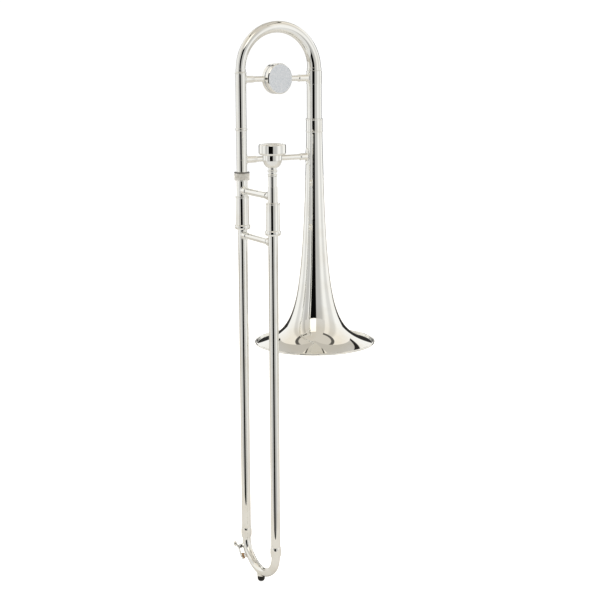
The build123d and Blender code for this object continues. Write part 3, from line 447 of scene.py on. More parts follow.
def makeHornTree(sizes):
    tree, given = startTree("bellHorn", sizes)
    skin = addNode(tree, "GeometryNodeMeshGrid",
                   {"Size X": 1.0, "Size Y": 1.0, "Vertices X": given["Steps"],
                    "Vertices Y": given["Sides"]})
    spot = addNode(tree, "GeometryNodeInputPosition")
    split = addNode(tree, "ShaderNodeSeparateXYZ", {"Vector": spot.outputs["Position"]})
    along = addNode(tree, "ShaderNodeMath", {0: split.outputs["X"], 1: 0.5}, operation="ADD")
    crowded = addNode(tree, "ShaderNodeMath",
                      {0: along.outputs[0], 1: given["Crowding"]}, operation="POWER")
    height = addNode(tree, "ShaderNodeMapRange",
                     {"Value": crowded.outputs[0], "To Min": given["Lip"],
                      "To Max": given["Length"]}).outputs["Result"]
    past = addNode(tree, "ShaderNodeMath", {0: height, 1: given["Knee"]}, operation="ADD")
    share = addNode(tree, "ShaderNodeMath", {0: given["Knee"], 1: past.outputs[0]}, operation="DIVIDE")
    shrunk = addNode(tree, "ShaderNodeMath", {0: share.outputs[0], 1: given["Power"]}, operation="POWER")
    radius = addNode(tree, "ShaderNodeMath", {0: given["Rim"], 1: shrunk.outputs[0]}, operation="MULTIPLY")
    arm = addNode(tree, "ShaderNodeCombineXYZ", {"X": radius.outputs[0], "Z": height})
    around = addNode(tree, "ShaderNodeMapRange",
                     {"Value": split.outputs["Y"], "From Min": -0.5, "From Max": 0.5, "To Max": 2 * pi})
    place = addNode(tree, "ShaderNodeVectorRotate",
                    {"Vector": arm.outputs["Vector"], "Axis": (0, 0, 1),
                     "Angle": around.outputs["Result"]}, rotation_type="AXIS_ANGLE")
    moved = addNode(tree, "GeometryNodeSetPosition",
                    {"Geometry": skin.outputs["Mesh"], "Position": place.outputs["Vector"]})
    joined = addNode(tree, "GeometryNodeMergeByDistance",
                     {"Distance": 1e-6, "Geometry": moved.outputs["Geometry"]})
    endTree(tree, given, joined.outputs["Geometry"])
    return tree


def bellRadius(height):
    knee = bellSizes["Knee"] / mm
    return rimRadius * (knee / (height + knee)) ** bellSizes["Power"]


bell = span("bell")
rimRadius = bell["radius"]
hornSizes = dict(bellSizes, Rim=rimRadius * mm, Length=bell["high"] * mm)
horn = grow("bellHorn", makeHornTree(hornSizes), hornSizes, finishes["silver_plate"])
wall = horn.modifiers.new("wall", "SOLIDIFY")
wall.thickness = bellSizes["Wall"]
wall.offset = -1
wall.use_even_offset = True
applyModifier(horn, wall)
install(horn, "bell")

beadSizes = {"radius": 1.6, "steps": 28}
beadMiddle = rimRadius - beadSizes["radius"]
beadRing = [(beadMiddle + beadSizes["radius"] * cos(2 * pi * k / beadSizes["steps"]),
             beadSizes["radius"] + beadSizes["radius"] * sin(2 * pi * k / beadSizes["steps"]))
            for k in range(beadSizes["steps"])]
install(turn("bellRimBead", beadRing, sides=256), "bell", "bell_rim_wire")
print("bell ready, rim radius", round(rimRadius, 2), "mm")


# plain tubes take their radius and ends from their nodes
tubeWalls = {"tuning_sleeve_bell": 0.67, "tuning_sleeve_neck": 0.82, "tuning_sleeve_ring_bell": 0.4,
             "tuning_leg_neck": 0.5, "tuning_leg_bell": 0.5, "neckpipe": 0.6,
             "outer_tube_neck": 0.27, "outer_tube_mouthpiece": 0.27, "mouthpiece_receiver": 0.8,
             "leadpipe": 0.5, "bumper_cork_neck": 2.2, "bumper_cork_mouthpiece": 2.2}
for node, wallSize in tubeWalls.items():
    s = span(node)
    outer, inner = s["radius"], s["radius"] - wallSize
    section = [(inner, s["low"]), (outer, s["low"]), (outer, s["high"]), (inner, s["high"])]
    install(turn(node + "Fine", eased(section), s["at"]), node)

# inner tubes swell into stockings at their far ends
stocking = {"length": 120.0, "rise": 0.2, "wall": 0.3}
for node in ("inner_tube_neck", "inner_tube_mouthpiece"):
    s = span(node)
    wide, slim = s["radius"], s["radius"] - stocking["rise"]
    bore = slim - stocking["wall"]
    swell = s["low"] + stocking["length"]
    install(turn(node + "Fine", eased([(bore, s["low"]), (wide, s["low"]), (wide, swell - 0.6), (slim, swell),
                                       (slim, s["high"]), (bore, s["high"])], 0.08), s["at"]), node)

# beaded rings: rise is how far each swells past its ends
ringSizes = {"tuning_sleeve_ring_neck": (0.4, 0.25), "neck_ferrule": (0.5, 0.25),
             "tuning_bow_ferrule_neck": (0.15, 0.3), "tuning_bow_ferrule_bell": (0.15, 0.3),
             "crook_ferrule_neck": (0.75, 0.3), "crook_ferrule_mouthpiece": (0.75, 0.3)}
for node, (rise, wallSize) in ringSizes.items():
    s = span(node)
    edge = s["radius"] - rise
    bore = edge - wallSize
    lip = 0.12
    section = [(bore, s["low"]), (edge - lip, s["low"])]
    section += bulge(edge, s["low"] + lip, s["high"] - lip, rise)
    section += [(edge - lip, s["high"]), (bore, s["high"])]
    install(turn(node + "Fine", section, s["at"]), node)

ferruleSizes = {"beadRise": 0.45, "beadLength": 2.2, "wall": 0.3}
s = span("bell_ferrule")
body = s["radius"] - ferruleSizes["beadRise"]
bead = ferruleSizes["beadLength"]
ferrule = [(body - 0.25, s["low"])] + bulge(body, s["low"], s["low"] + bead, ferruleSizes["beadRise"]) \
    + bulge(body, s["high"] - bead, s["high"], ferruleSizes["beadRise"]) + [(body - 0.25, s["high"])]
install(turn("bellFerrule", ferrule, s["at"], 128), "bell_ferrule")
print("tubes, rings and ferrules ready")


socketSizes = {"flange": 1.8, "coneEnd": 0.3, "baseRise": 0.4, "wall": 0.6}
tenonSizes = {"wall": 1.75, "threadFoot": 0.3, "threadTop": 6.0, "pitch": 1.0, "depth": 0.35, "fit": 0.05,
              "coneRise": 0.35, "bore": 0.3}
# the socket's bore stands clear of the tenon's cone all round, so the slide can turn in it
s = span("neck_socket")
pipe = span("neckpipe")["radius"]
tubeRadius = span("inner_tube_neck")["radius"] - stocking["rise"]
flange = s["low"] + socketSizes["flange"]
coneTop = span("slide_tenon")["high"] + socketSizes["coneEnd"]
pipeBore = pipe - socketSizes["wall"]
coneBase = tubeRadius + socketSizes["baseRise"]
socketSection = [(coneBase, s["low"]), (s["radius"], s["low"]), (s["radius"], flange), (pipe, flange),
                 (pipe, s["high"]), (pipeBore, s["high"]), (pipeBore, coneTop), (tubeRadius, coneTop)]
install(turn("neckSocket", eased(socketSection), s["at"]), "neck_socket")

s = span("slide_tenon")
nut = span("bell_lock_nut")
tenonRadius = tubeRadius + tenonSizes["wall"]
threadLow, threadHigh = nut["low"] + tenonSizes["threadFoot"], nut["low"] + tenonSizes["threadTop"]
tenonSection = [(tubeRadius + tenonSizes["fit"], s["low"]), (tenonRadius, s["low"]), (tenonRadius, threadLow)]
for k in range(int((threadHigh - threadLow) / tenonSizes["pitch"])):
    foot = threadLow + k * tenonSizes["pitch"]
    tenonSection += [(s["radius"] - tenonSizes["depth"], foot), (s["radius"], foot + tenonSizes["pitch"] / 2)]
tenonSection += [(tubeRadius + tenonSizes["coneRise"], threadHigh),
                 (tubeRadius - tenonSizes["fit"], s["high"]), (tubeRadius - tenonSizes["bore"], s["high"])]
install(turn("slideTenon", tenonSection, s["at"]), "slide_tenon")

nutSizes = {"bevel": 1.6, "Ribs": 90, "Rib radius": 0.5 * mm, "ribSink": 0.52}
low, high, r = nut["low"], nut["high"], nut["radius"]
ribBase = r - nutSizes["ribSink"]
lowBand, highBand = low + nutSizes["bevel"] + 0.5, high - nutSizes["bevel"] - 0.5
nutSection = [(span("slide_tenon")["radius"] + 0.08, low), (r - 1.0, low), (r - 0.1, low + 0.7),
              (r - 0.1, lowBand - 0.4), (ribBase, lowBand), (ribBase, highBand), (r - 0.1, highBand + 0.4),
              (r - 0.1, high - nutSizes["bevel"]), (r - nutSizes["bevel"], high), (pipe + 0.08, high),
              (pipe + 0.08, high - 3.2), (span("slide_tenon")["radius"] + 0.08, high - 3.2)]
nutBody = turn("lockNutBody", eased(nutSection, 0.25), nut["at"])
install(nutBody, "bell_lock_nut")


# straight knurl: one slim half-round rib, repeated round the nut
def makeKnurlTree(sizes):
    tree, given = startTree("nutKnurl", sizes)
    circle = addNode(tree, "GeometryNodeMeshCircle", {"Vertices": given["Ribs"], "Radius": given["Ring"]})
    rib = addNode(tree, "GeometryNodeMeshCylinder",
                  {"Vertices": 8, "Radius": given["Rib radius"], "Depth": given["Rib length"]})
    placed = addNode(tree, "GeometryNodeInstanceOnPoints",
                     {"Points": circle.outputs["Mesh"], "Instance": rib.outputs["Mesh"]})
    raised = addNode(tree, "ShaderNodeCombineXYZ",
                     {"X": given["Centre X"], "Y": given["Centre Y"], "Z": given["Centre Z"]})
    moved = addNode(tree, "GeometryNodeTransform",
                    {"Geometry": placed.outputs["Instances"], "Translation": raised.outputs["Vector"]})
    endTree(tree, given, moved.outputs["Geometry"])
    return tree


knurlSizes = {"Ribs": nutSizes["Ribs"], "Ring": ribBase * mm, "Rib radius": nutSizes["Rib radius"],
              "Rib length": (highBand - lowBand - 0.3) * mm, "Centre X": nut["at"][0] * mm,
              "Centre Y": nut["at"][1] * mm, "Centre Z": (lowBand + highBand) / 2 * mm}
knurl = grow("lockNutKnurl", makeKnurlTree(knurlSizes), knurlSizes, finishes["silver_plate"])
install(knurl, "bell_lock_nut")
knurl.data.materials[0] = makeKnurledPlate()

# painted shadow: a black rubber ring in the nut's top edge stands for the shade in its joint with the neck
shadowRingSizes = {"inset": 0.8, "thick": 0.8, "steps": 20}
shadowRingSection = [(r - shadowRingSizes["inset"] + shadowRingSizes["thick"] * cos(2 * pi * k / shadowRingSizes["steps"]),
             high - shadowRingSizes["inset"] + shadowRingSizes["thick"] * sin(2 * pi * k / shadowRingSizes["steps"]))
            for k in range(shadowRingSizes["steps"])]
ring = turn("lockNutPaintedShadow", shadowRingSection, nut["at"])
ring.data.materials.append(finishes["rubber"])
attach(ring, bodyOf["bell_lock_nut"])

barrelSizes = {"wall": 0.6, "cap": 2.5, "topBead": 2.4, "topRise": 0.4, "foot": 7.0, "footRise": 1.45}
barrelRadius = span("cork_barrel_neck")["radius"] - barrelSizes["topRise"]
for node, footed in (("cork_barrel_neck", False), ("cork_barrel_mouthpiece", True)):
    s = span(node)
    bore = barrelRadius - barrelSizes["wall"]
    capBore = tubeRadius + 0.05
    capLow, footHigh = s["high"] - barrelSizes["cap"], s["low"] + barrelSizes["foot"]
    section = [(capBore, capLow), (bore, capLow), (bore, s["low"])]
    if footed:
        section += bulge(barrelRadius, s["low"] + 0.1, footHigh, barrelSizes["footRise"], 16)
    else:
        section += [(barrelRadius, s["low"])]
    beadLow = s["high"] - barrelSizes["topBead"]
    section += bulge(barrelRadius, beadLow, s["high"] - 0.1, barrelSizes["topRise"])
    section += [(capBore, s["high"])]
    install(turn(node + "Fine", section, s["at"]), node)

lockSizes = {"edge": 1.45, "gap": 0.08, "lipHeight": 2.0, "lipDepth": 2.1, "rise": 1.35, "steps": 14}
s = span("slide_lock_ring")
lockEdge = s["radius"] - lockSizes["edge"]
lockBore = barrelRadius + lockSizes["gap"]
lipBore, lipTop = lockBore - lockSizes["lipDepth"], s["low"] + lockSizes["lipHeight"]
section = [(lockBore, lipTop), (lipBore, lipTop), (lipBore, s["low"]), (lockEdge, s["low"])]
section += bulge(lockEdge + 0.1, s["low"] + 0.2, s["high"] - 0.2, lockSizes["rise"], lockSizes["steps"])
section += [(lockEdge, s["high"]), (lockBore, s["high"])]
install(turn("slideLockRing", section, s["at"]), "slide_lock_ring")
print("nut, barrels and lock ready")


# the mouthpiece in mm: rim, cup and throat from the top down, shank from the tip up
cup = {"rimRound": 2.6, "rimBand": 12.5, "bodyRadius": 13.0, "cupRadius": 12.3, "depth": 22.0, "throat": 3.2,
       "throatLength": 6.0, "shankLength": 35.7, "shankTip": 5.45, "shankSlope": 0.0228, "tipWall": 0.55,
       "ring": 6.6, "waist": 5.3, "pitch": 2.9, "side": 6.5}


# points of a smooth curve through four guides
def curveThrough(a, b, c, d, steps=10):
    points = []
    for k in range(steps + 1):
        t = k / steps
        u = 1 - t
        points.append(tuple(u ** 3 * a[i] + 3 * u * u * t * b[i] + 3 * u * t * t * c[i] + t ** 3 * d[i]
                            for i in (0, 1)))
    return points


def makeMouthpiece():
    s = span("mouthpiece")
    tip, top, rim = s["low"], s["high"], s["radius"]
    shankTop = tip + cup["shankLength"]
    neckTop = shankTop + 4 * cup["pitch"]
    bandLow = top - cup["rimBand"]
    shoulder = bandLow - cup["rimRound"]
    hip = shoulder - cup["side"]
    cupLow = top - cup["depth"]
    line = [(cup["shankTip"] - cup["tipWall"], tip), (cup["shankTip"] - 0.1, tip),
            (cup["shankTip"], tip + 0.15), (cup["shankTip"] + cup["shankSlope"] * cup["shankLength"], shankTop)]
    for ring in range(2):
        low = shankTop + 2 * ring * cup["pitch"]
        line += bulge(cup["waist"] + 0.35, low + 0.05, low + cup["pitch"],
                      cup["ring"] - cup["waist"] - 0.35, 12)
        line += [(cup["waist"], low + cup["pitch"] + 0.35), (cup["waist"], low + 2 * cup["pitch"] - 0.2)]
    line += curveThrough((cup["waist"], neckTop), (cup["waist"] + 3.6, neckTop + 0.5),
                         (cup["bodyRadius"] - 1.2, hip - 6.0), (cup["bodyRadius"], hip), 18)
    line += curveThrough((cup["bodyRadius"], shoulder), (cup["bodyRadius"] + 3.4, shoulder + 0.1),
                         (rim - 0.4, bandLow - 1.0), (rim, bandLow + 0.4), 10)
    line += curveThrough((rim, top - cup["rimRound"]), (rim, top - 0.7), (rim - 1.4, top),
                         (rim - cup["rimRound"], top), 10)
    line += curveThrough((rim - cup["rimRound"] - 0.1, top), (cup["cupRadius"] + 1.5, top - 0.1),
                         (cup["cupRadius"] + 0.3, top - 0.9), (cup["cupRadius"], top - 1.9), 10)
    line += curveThrough((cup["cupRadius"] - 0.05, top - 2.2), (cup["cupRadius"] - 0.6, top - 11.0),
                         (cup["throat"] + 5.0, cupLow + 3.0), (cup["throat"], cupLow), 20)
    line += [(cup["throat"], cupLow - cup["throatLength"])]
    return turn("mouthpieceFine", line, s["at"], 128)


install(makeMouthpiece(), "mouthpiece")
print("mouthpiece ready")


# a tube along a path: the tuning bow widens steadily, the crook keeps one bore
def makePathTree(sizes):
    tree, given = startTree("tubeOnPath", sizes)
    share = addNode(tree, "GeometryNodeSplineParameter").outputs["Factor"]
    radius = addNode(tree, "ShaderNodeMapRange",
                     {"Value": share, "To Min": given["Start radius"],
                      "To Max": given["End radius"]}).outputs["Result"]
    profile = addNode(tree, "GeometryNodeCurvePrimitiveCircle",
                      {"Radius": 1.0, "Resolution": given["Sides"]})
    skin = addNode(tree, "GeometryNodeCurveToMesh",
                   {"Fill Caps": True, "Curve": given["Geometry"],
                    "Profile Curve": profile.outputs["Curve"], "Scale": radius})
    endTree(tree, given, skin.outputs["Mesh"])
    return tree


# a curve object through points in mm
def pathCurve(name, points):
    data = bpy.data.curves.new(name, "CURVE")
    data.dimensions = "3D"
    spline = data.splines.new("POLY")
    spline.points.add(len(points) - 1)
    for point, spot in zip(spline.points, points):
        point.co = (*(Vector(spot) * mm), 1.0)
    return bpy.data.objects.new(name, data)


neckX, bellX = span("tuning_leg_neck")["at"][0], span("tuning_leg_bell")["at"][0]
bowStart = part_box("tuning_bow")[0].z / mm
bowRadius = (bellX - neckX) / 2
bowMiddle = (bellX + neckX) / 2
bowPoints = [(bowMiddle - bowRadius * cos(pi * k / 96), 0.0, bowStart + bowRadius * sin(pi * k / 96))
             for k in range(97)]
bowSizes = {"Start radius": span("tuning_leg_neck")["radius"] * mm,
            "End radius": span("tuning_leg_bell")["radius"] * mm, "Sides": 96}
pathTree = makePathTree(bowSizes)
bow = grow("tuningBow", pathTree, bowSizes, finishes["silver_plate"], pathCurve("bowPath", bowPoints))
install(bow, "tuning_bow")

crookSizes = {"drop": 37.5, "cornerTurn": 45.0, "step": 0.5}
mouthY = span("outer_tube_mouthpiece")["at"][1]
slideRadius = span("outer_tube_neck")["radius"]
crookTop = span("outer_tube_neck")["low"]
crookStart = span("crook_ferrule_neck")["low"]
crookRadius = slideRadius - crookSizes["step"]
half = -mouthY / 2
cornerShare = tan(radians(45 - crookSizes["cornerTurn"] / 2))
corner = (crookSizes["drop"] - half * cornerShare) / (1 - cornerShare)
floorArc = corner + (half - corner) / cos(radians(crookSizes["cornerTurn"]))


# the crook's centre line at a turn from 0 at the neck side to 180 at the mouthpiece side
def crookPoint(turnAngle):
    angle = radians(turnAngle)
    first = radians(crookSizes["cornerTurn"])
    if turnAngle <= crookSizes["cornerTurn"]:
        return (neckX, -corner * (1 - cos(angle)), crookStart - corner * sin(angle))
    if turnAngle >= 180 - crookSizes["cornerTurn"]:
        far = crookPoint(180 - turnAngle)
        return (neckX, mouthY - far[1], far[2])
    middleY = -corner * (1 - cos(first)) - floorArc * cos(first)
    middleZ = crookStart - corner * sin(first) + floorArc * sin(first)
    return (neckX, middleY + floorArc * cos(angle), middleZ - floorArc * sin(angle))


crookPoints = [(neckX, 0.0, crookTop), *(crookPoint(k * 1.5) for k in range(121)), (neckX, mouthY, crookTop)]
crookTubeSizes = {"Start radius": crookRadius * mm, "End radius": crookRadius * mm, "Sides": 96}
crook = grow("slideCrook", pathTree, crookTubeSizes, finishes["silver_plate"],
             pathCurve("crookPath", crookPoints))
install(crook, "crook")
print("tuning bow and crook ready")


# braces: a rod in two feet, each foot a saddle that runs up into a socket

braceSizes = {"skin": 0.9, "gap": 0.05, "spread": 1.12, "floor": 2.0, "socketWall": 0.85, "ringRise": 0.55,
              "ringLength": 1.7, "sides": 72}


# direction points from the tube's axis along the rod; radiusAt gives the tube's radius at a height
def braceFoot(node, tubeAt, height, direction, radiusAt, rodRadius, reach, saddleHalf, ringed):
    b = braceSizes
    socket = rodRadius + b["socketWall"]
    across = socket * b["spread"]
    skin = b["skin"] * 0.96
    rows = []

    def onTube(share, lift, grow=0.0):
        a = socket + (saddleHalf - socket) * share - grow
        c = socket + (across - socket) * share - grow
        row = []
        for k in range(b["sides"]):
            angle = 2 * pi * k / b["sides"]
            x, y = a * cos(angle), c * sin(angle)
            tube = radiusAt(height + x) + lift
            row.append((x, y, sqrt(max(tube * tube - y * y, 0.01))))
        return row

    rows.append(onTube(1.0, b["gap"]))
    rows.append(onTube(1.0, skin * 0.55))
    rows.append(onTube(1.0, skin * 0.88, 0.12))
    rows.append(onTube(1.0, skin, 0.4))
    for share, rise in ((0.7, 0.0), (0.4, 0.02), (0.22, 0.1), (0.1, 0.28), (0.03, 0.6), (0.0, 1.1)):
        rows.append([(x, y, h + rise) for x, y, h in onTube(share, skin)])

    def level(radius, h):
        rows.append([(radius * cos(2 * pi * k / b["sides"]), radius * sin(2 * pi * k / b["sides"]), h)
                     for k in range(b["sides"])])

    if ringed:
        for r, h in bulge(socket, reach - b["ringLength"], reach - 0.05, b["ringRise"]):
            level(r, h)
    else:
        level(socket, reach - 0.25)
        level(socket - 0.07, reach - 0.07)
    level(socket - 0.25, reach)
    level(rodRadius + b["gap"], reach)
    level(rodRadius + b["gap"], radiusAt(height) + b["floor"])
    build = bmesh.new()
    up = Vector((0, 0, 1))
    out = Vector(direction)
    side = up.cross(out)
    origin = Vector((tubeAt[0], tubeAt[1], height))
    rings = [[build.verts.new((origin + up * x + side * y + out * h) * mm) for x, y, h in row]
             for row in rows]
    count = b["sides"]
    for ring, following in zip(rings, rings[1:]):
        for k in range(count):
            build.faces.new([ring[k], ring[(k + 1) % count], following[(k + 1) % count], following[k]])
    build.faces.new(rings[-1])
    # the underside follows the tube, drawn in to a line of points along its crown
    inner = [onTube(1.0, b["gap"], socket * share) for share in (0.25, 0.5, 0.75, 0.95)]
    previous = rings[0]
    for row in inner:
        ring = [build.verts.new((origin + up * x + side * y + out * h) * mm) for x, y, h in row]
        for k in range(count):
            build.faces.new([ring[k], ring[(k + 1) % count], previous[(k + 1) % count], previous[k]])
        previous = ring
    build.faces.new(list(reversed(previous)))
    bmesh.ops.recalc_face_normals(build, faces=build.faces)
    return install(meshObject(node + "Fine", build, 50), node)


def braceRod(node, along):
    low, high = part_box(node)
    size = (high - low) / mm
    middle = (low + high) / 2 / mm
    length = max(size)
    radius = min(size) / 2
    turned = Matrix.Rotation(pi / 2, 4, "Y") if along == "X" else Matrix.Rotation(pi / 2, 4, "X")
    section = eased([(0, -length / 2), (radius, -length / 2), (radius, length / 2), (0, length / 2)], 0.2)
    install(turn(node + "Fine", section, sides=64, place=Matrix.Translation(middle) @ turned), node)
    return radius


def reachOf(node, at, direction):
    low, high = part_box(node)
    far = [high[i] / mm if direction[i] > 0 else low[i] / mm for i in (0, 1)]
    return (far[0] - at[0]) * direction[0] + (far[1] - at[1]) * direction[1]


neckAt, bellAt, mouthAt = (neckX, 0.0), (bellX, 0.0), (neckX, mouthY)
collar = span("tuning_sleeve_ring_bell")["radius"]
braces = (
    ("upper", "X", (("neck", neckAt, (1, 0, 0), lambda z: span("tuning_sleeve_neck")["radius"], 7.0, False),
                    ("bell", bellAt, (-1, 0, 0), lambda z: collar, 7.0, True))),
    ("lower", "X", (("neck", neckAt, (1, 0, 0), lambda z: pipe, 7.0, False),
                    ("bell", bellAt, (-1, 0, 0), bellRadius, 12.0, True))),
    ("inner", "Y", (("neck", neckAt, (0, -1, 0), lambda z: tenonRadius, 0.0, False),
                    ("mouthpiece", mouthAt, (0, 1, 0), lambda z: span("mouthpiece_receiver")["radius"],
                     0.0, False))),
    ("handle", "Y", (("neck", neckAt, (0, -1, 0), lambda z: slideRadius, 0.0, False),
                     ("mouthpiece", mouthAt, (0, 1, 0), lambda z: slideRadius, 0.0, True))),
)
for name, along, feet in braces:
    rodRadius = braceRod(f"{name}_brace_rod", along)
    low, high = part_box(f"{name}_brace_rod")
    height = (low.z + high.z) / 2 / mm
    for side, at, direction, radiusAt, saddleHalf, ringed in feet:
        node = f"{name}_brace_foot_{side}"
        fixed = radiusAt(height)
        shape = radiusAt if radiusAt is bellRadius else (lambda z, r=fixed: r)
        halfLength = saddleHalf or (rodRadius + braceSizes["socketWall"]) * 1.3
        reach = reachOf(node, at, direction)
        braceFoot(node, at, height, direction, shape, rodRadius, reach, halfLength, ringed)
print("braces ready")


# the counterweight: two turned halves that meet in a groove, clamped by two screws

weightSizes = {"turn": 9.0, "radius": 21.5, "half": 8.0, "seam": 0.9, "rebate": 1.1, "edge": 1.2,
               "screwOffset": 13.0, "headRadius": 2.9, "headDepth": 1.5}


def makeCounterweight():
    w = weightSizes
    lows, highs = zip(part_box("counterweight_front"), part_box("counterweight_back"))
    lowest = Vector([min(v[i] for v in lows) for i in range(3)])
    highest = Vector([max(v[i] for v in highs) for i in range(3)])
    middle = (lowest + highest) / 2 / mm
    face = eased([(0, 0.02), (w["radius"] - w["rebate"], 0.02), (w["radius"] - w["rebate"], w["seam"]),
                  (w["radius"], w["seam"]), (w["radius"], w["half"] - w["edge"]),
                  (w["radius"] - w["edge"], w["half"]), (0, w["half"])], 0.3, 4)
    for node, flip in (("counterweight_front", 90), ("counterweight_back", -90)):
        turned = Matrix.Rotation(radians(w["turn"]), 4, "Z")
        place = Matrix.Translation(middle) @ turned @ Matrix.Rotation(radians(flip), 4, "X")
        half = turn(node + "Fine", face, sides=144, place=place)
        if node.endswith("back"):
            seatRadius = w["headRadius"] + 0.15
            seatLow, seatHigh = w["half"] - w["headDepth"] - 0.3, w["half"] + 3
            seatSection = [(0, seatLow), (seatRadius, seatLow), (seatRadius, seatHigh), (0, seatHigh)]
            for offset in (w["screwOffset"], -w["screwOffset"]):
                seat = turn("seat", seatSection, sides=64, place=place @ Matrix.Translation((0, offset, 0)))
                cut = half.modifiers.new("seat", "BOOLEAN")
                cut.object = seat
                cut.solver = "EXACT"
                applyModifier(half, cut)
                bpy.data.objects.remove(seat)
            half.data.shade_smooth()
            half.data.set_sharp_from_angle(angle=radians(30))
        install(half, node)
        # the flat faces are satin, and the edge and groove are plated like the tubes
        half.data.materials.append(finishes["silver_plate"])
        facing = (place.to_3x3() @ Vector((0, 0, 1))).normalized()
        for side in half.data.polygons:
            side.material_index = 0 if abs(side.normal.dot(facing)) > 0.97 else 1


makeCounterweight()


# a small casting keeps its node's shape: a merged copy with its edges eased
def easedCasting(node, width):
    source = frame["nodes"][node].data
    build = bmesh.new()
    build.from_mesh(source)
    bmesh.ops.remove_doubles(build, verts=build.verts, dist=2e-6)
    bmesh.ops.dissolve_limit(build, angle_limit=radians(1.5), verts=build.verts, edges=build.edges)
    piece = meshObject(node + "Fine", build, 32)
    bevel = piece.modifiers.new("ease", "BEVEL")
    bevel.width = width * mm
    bevel.segments = 3
    bevel.limit_method = "ANGLE"
    bevel.angle_limit = radians(40)
    bevel.use_clamp_overlap = True
    applyModifier(piece, bevel)
    piece.data.shade_smooth()
    piece.data.set_sharp_from_angle(angle=radians(32))
    return install(piece, node)


for node, width in (("counterweight_screw_upper", 0.12), ("counterweight_screw_lower", 0.12), ("lock_lug", 0.2),
                    ("bumper_socket", 0.12), ("water_key_saddle", 0.2), ("water_key_screw", 0.12),
                    ("water_key_lever", 0.25), ("water_key_cork", 0.15), ("rubber_bumper", 0.3)):
    easedCasting(node, width)


# the water key's spring: a coil round the hinge

springSizes = {"turn": 35.0, "side": 50.0, "along": 8.0, "height": 12.3, "coil": 1.62, "wire": 0.2, "half": 1.4,
               "rounds": 6.5}


def makeSpringTree(sizes):
    tree, given = startTree("closingSpring", sizes)
    coil = addNode(tree, "GeometryNodeCurveSpiral",
                   {"Resolution": 28, "Rotations": given["Rounds"], "Start Radius": given["Coil radius"],
                    "End Radius": given["Coil radius"], "Height": given["Coil height"]})
    wire = addNode(tree, "GeometryNodeCurvePrimitiveCircle",
                   {"Resolution": 10, "Radius": given["Wire radius"]})
    skin = addNode(tree, "GeometryNodeCurveToMesh",
                   {"Fill Caps": True, "Curve": coil.outputs["Curve"],
                    "Profile Curve": wire.outputs["Curve"]})
    endTree(tree, given, skin.outputs["Mesh"])
    return tree


def makeSpring():
    k = springSizes
    t, s = radians(k["turn"]), radians(k["side"])
    line = Vector(crookPoint(k["turn"]))
    upTube = Vector((0, sin(t), cos(t)))
    away = Vector((-sin(s), cos(s) * cos(t), -cos(s) * sin(t)))
    hingeLine = away.cross(upTube).normalized()
    centre = line + upTube * k["along"] + away * k["height"] - hingeLine * k["half"]
    sizes = {"Rounds": k["rounds"], "Coil radius": k["coil"] * mm, "Coil height": 2 * k["half"] * mm,
             "Wire radius": k["wire"] * mm}
    coil = grow("closingSpring", makeSpringTree(sizes), sizes, finishes["steel"])
    turned = Matrix((upTube, hingeLine.cross(upTube), hingeLine)).transposed()
    coil.data.transform(Matrix.Translation(centre * mm) @ turned.to_4x4())
    return install(coil, "water_key_spring")


makeSpring()
print("counterweight, water key and bumper ready")


# studio: camera, floor and a white tent with one dark gap in front

studio = {"position": (-983.3, -1716.6, 454.1), "yaw": -29.173, "pitch": 11.159, "roll": -0.266, "lens": 81.65,
          "floorDrop": 1.0, "floorLift": 0.85, "frontEdge": 260.0, "floorSize": 3000.0}


def makeCamera():
    yaw, pitch, roll = (radians(studio[k]) for k in ("yaw", "pitch", "roll"))
    right = Vector((cos(yaw), sin(yaw), 0))
    forward = Vector((-sin(yaw) * cos(pitch), cos(yaw) * cos(pitch), -sin(pitch)))
    up = right.cross(forward)
    tiltedRight = right * cos(roll) + up * sin(roll)
    tiltedUp = up * cos(roll) - right * sin(roll)
    data = bpy.data.cameras.new("studioCamera")
    data.sensor_width = 36
    data.lens = studio["lens"]
    data.clip_start = 0.01
    data.clip_end = 50
    camera = bpy.data.objects.new("studioCamera", data)
    turned = Matrix((tiltedRight, tiltedUp, -forward)).transposed().to_4x4()
    camera.matrix_world = Matrix.Translation(Vector(studio["position"]) * mm) @ turned
    bpy.context.scene.collection.objects.link(camera)
    bpy.context.scene.camera = camera
    return forward


forward = makeCamera()


def makeFloor():
    level = cadBox[0][2] - studio["floorDrop"] * mm
    towards = Vector((-forward.x, -forward.y, 0)).normalized()
    sideways = Vector((towards.y, -towards.x, 0))
    size = studio["floorSize"] * mm
    middle = Vector((neckX * mm, mouthY / 2 * mm, level))
    front = middle + towards * studio["frontEdge"] * mm
    corners = [front - sideways * size, front + sideways * size, front + sideways * size - towards * 2 * size,
               front - sideways * size - towards * 2 * size]
    build = bmesh.new()
    build.faces.new([build.verts.new(c) for c in corners])
    bmesh.ops.recalc_face_normals(build, faces=build.faces)
    floor = meshObject("studioFloor", build)
    if floor.data.polygons[0].normal.z < 0:
        floor.data.flip_normals()
    material, tree, shader, place = startMaterial("whiteSeamlessPaper", 0.0, 0.9, "DFDEDC")
    fibre = addNode(tree, "ShaderNodeTexNoise", {"Scale": 400.0, "Detail": 3.0, "Vector": place})
    bump = addNode(tree, "ShaderNodeBump",
                   {"Strength": 0.1, "Distance": 0.0002, "Height": fibre.outputs["Fac"]})
    tree.links.new(bump.outputs["Normal"], shader.inputs["Normal"])
    shader.inputs["Specular IOR Level"].default_value = 0.1
    shader.inputs["Emission Color"].default_value = colour("FFFFFF")
    seen = addNode(tree, "ShaderNodeLightPath").outputs["Is Camera Ray"]
    lift = addNode(tree, "ShaderNodeMath", {0: seen, 1: studio["floorLift"]}, operation="MULTIPLY")
    tree.links.new(lift.outputs[0], shader.inputs["Emission Strength"])
    floor.data.materials.append(material)


makeFloor()

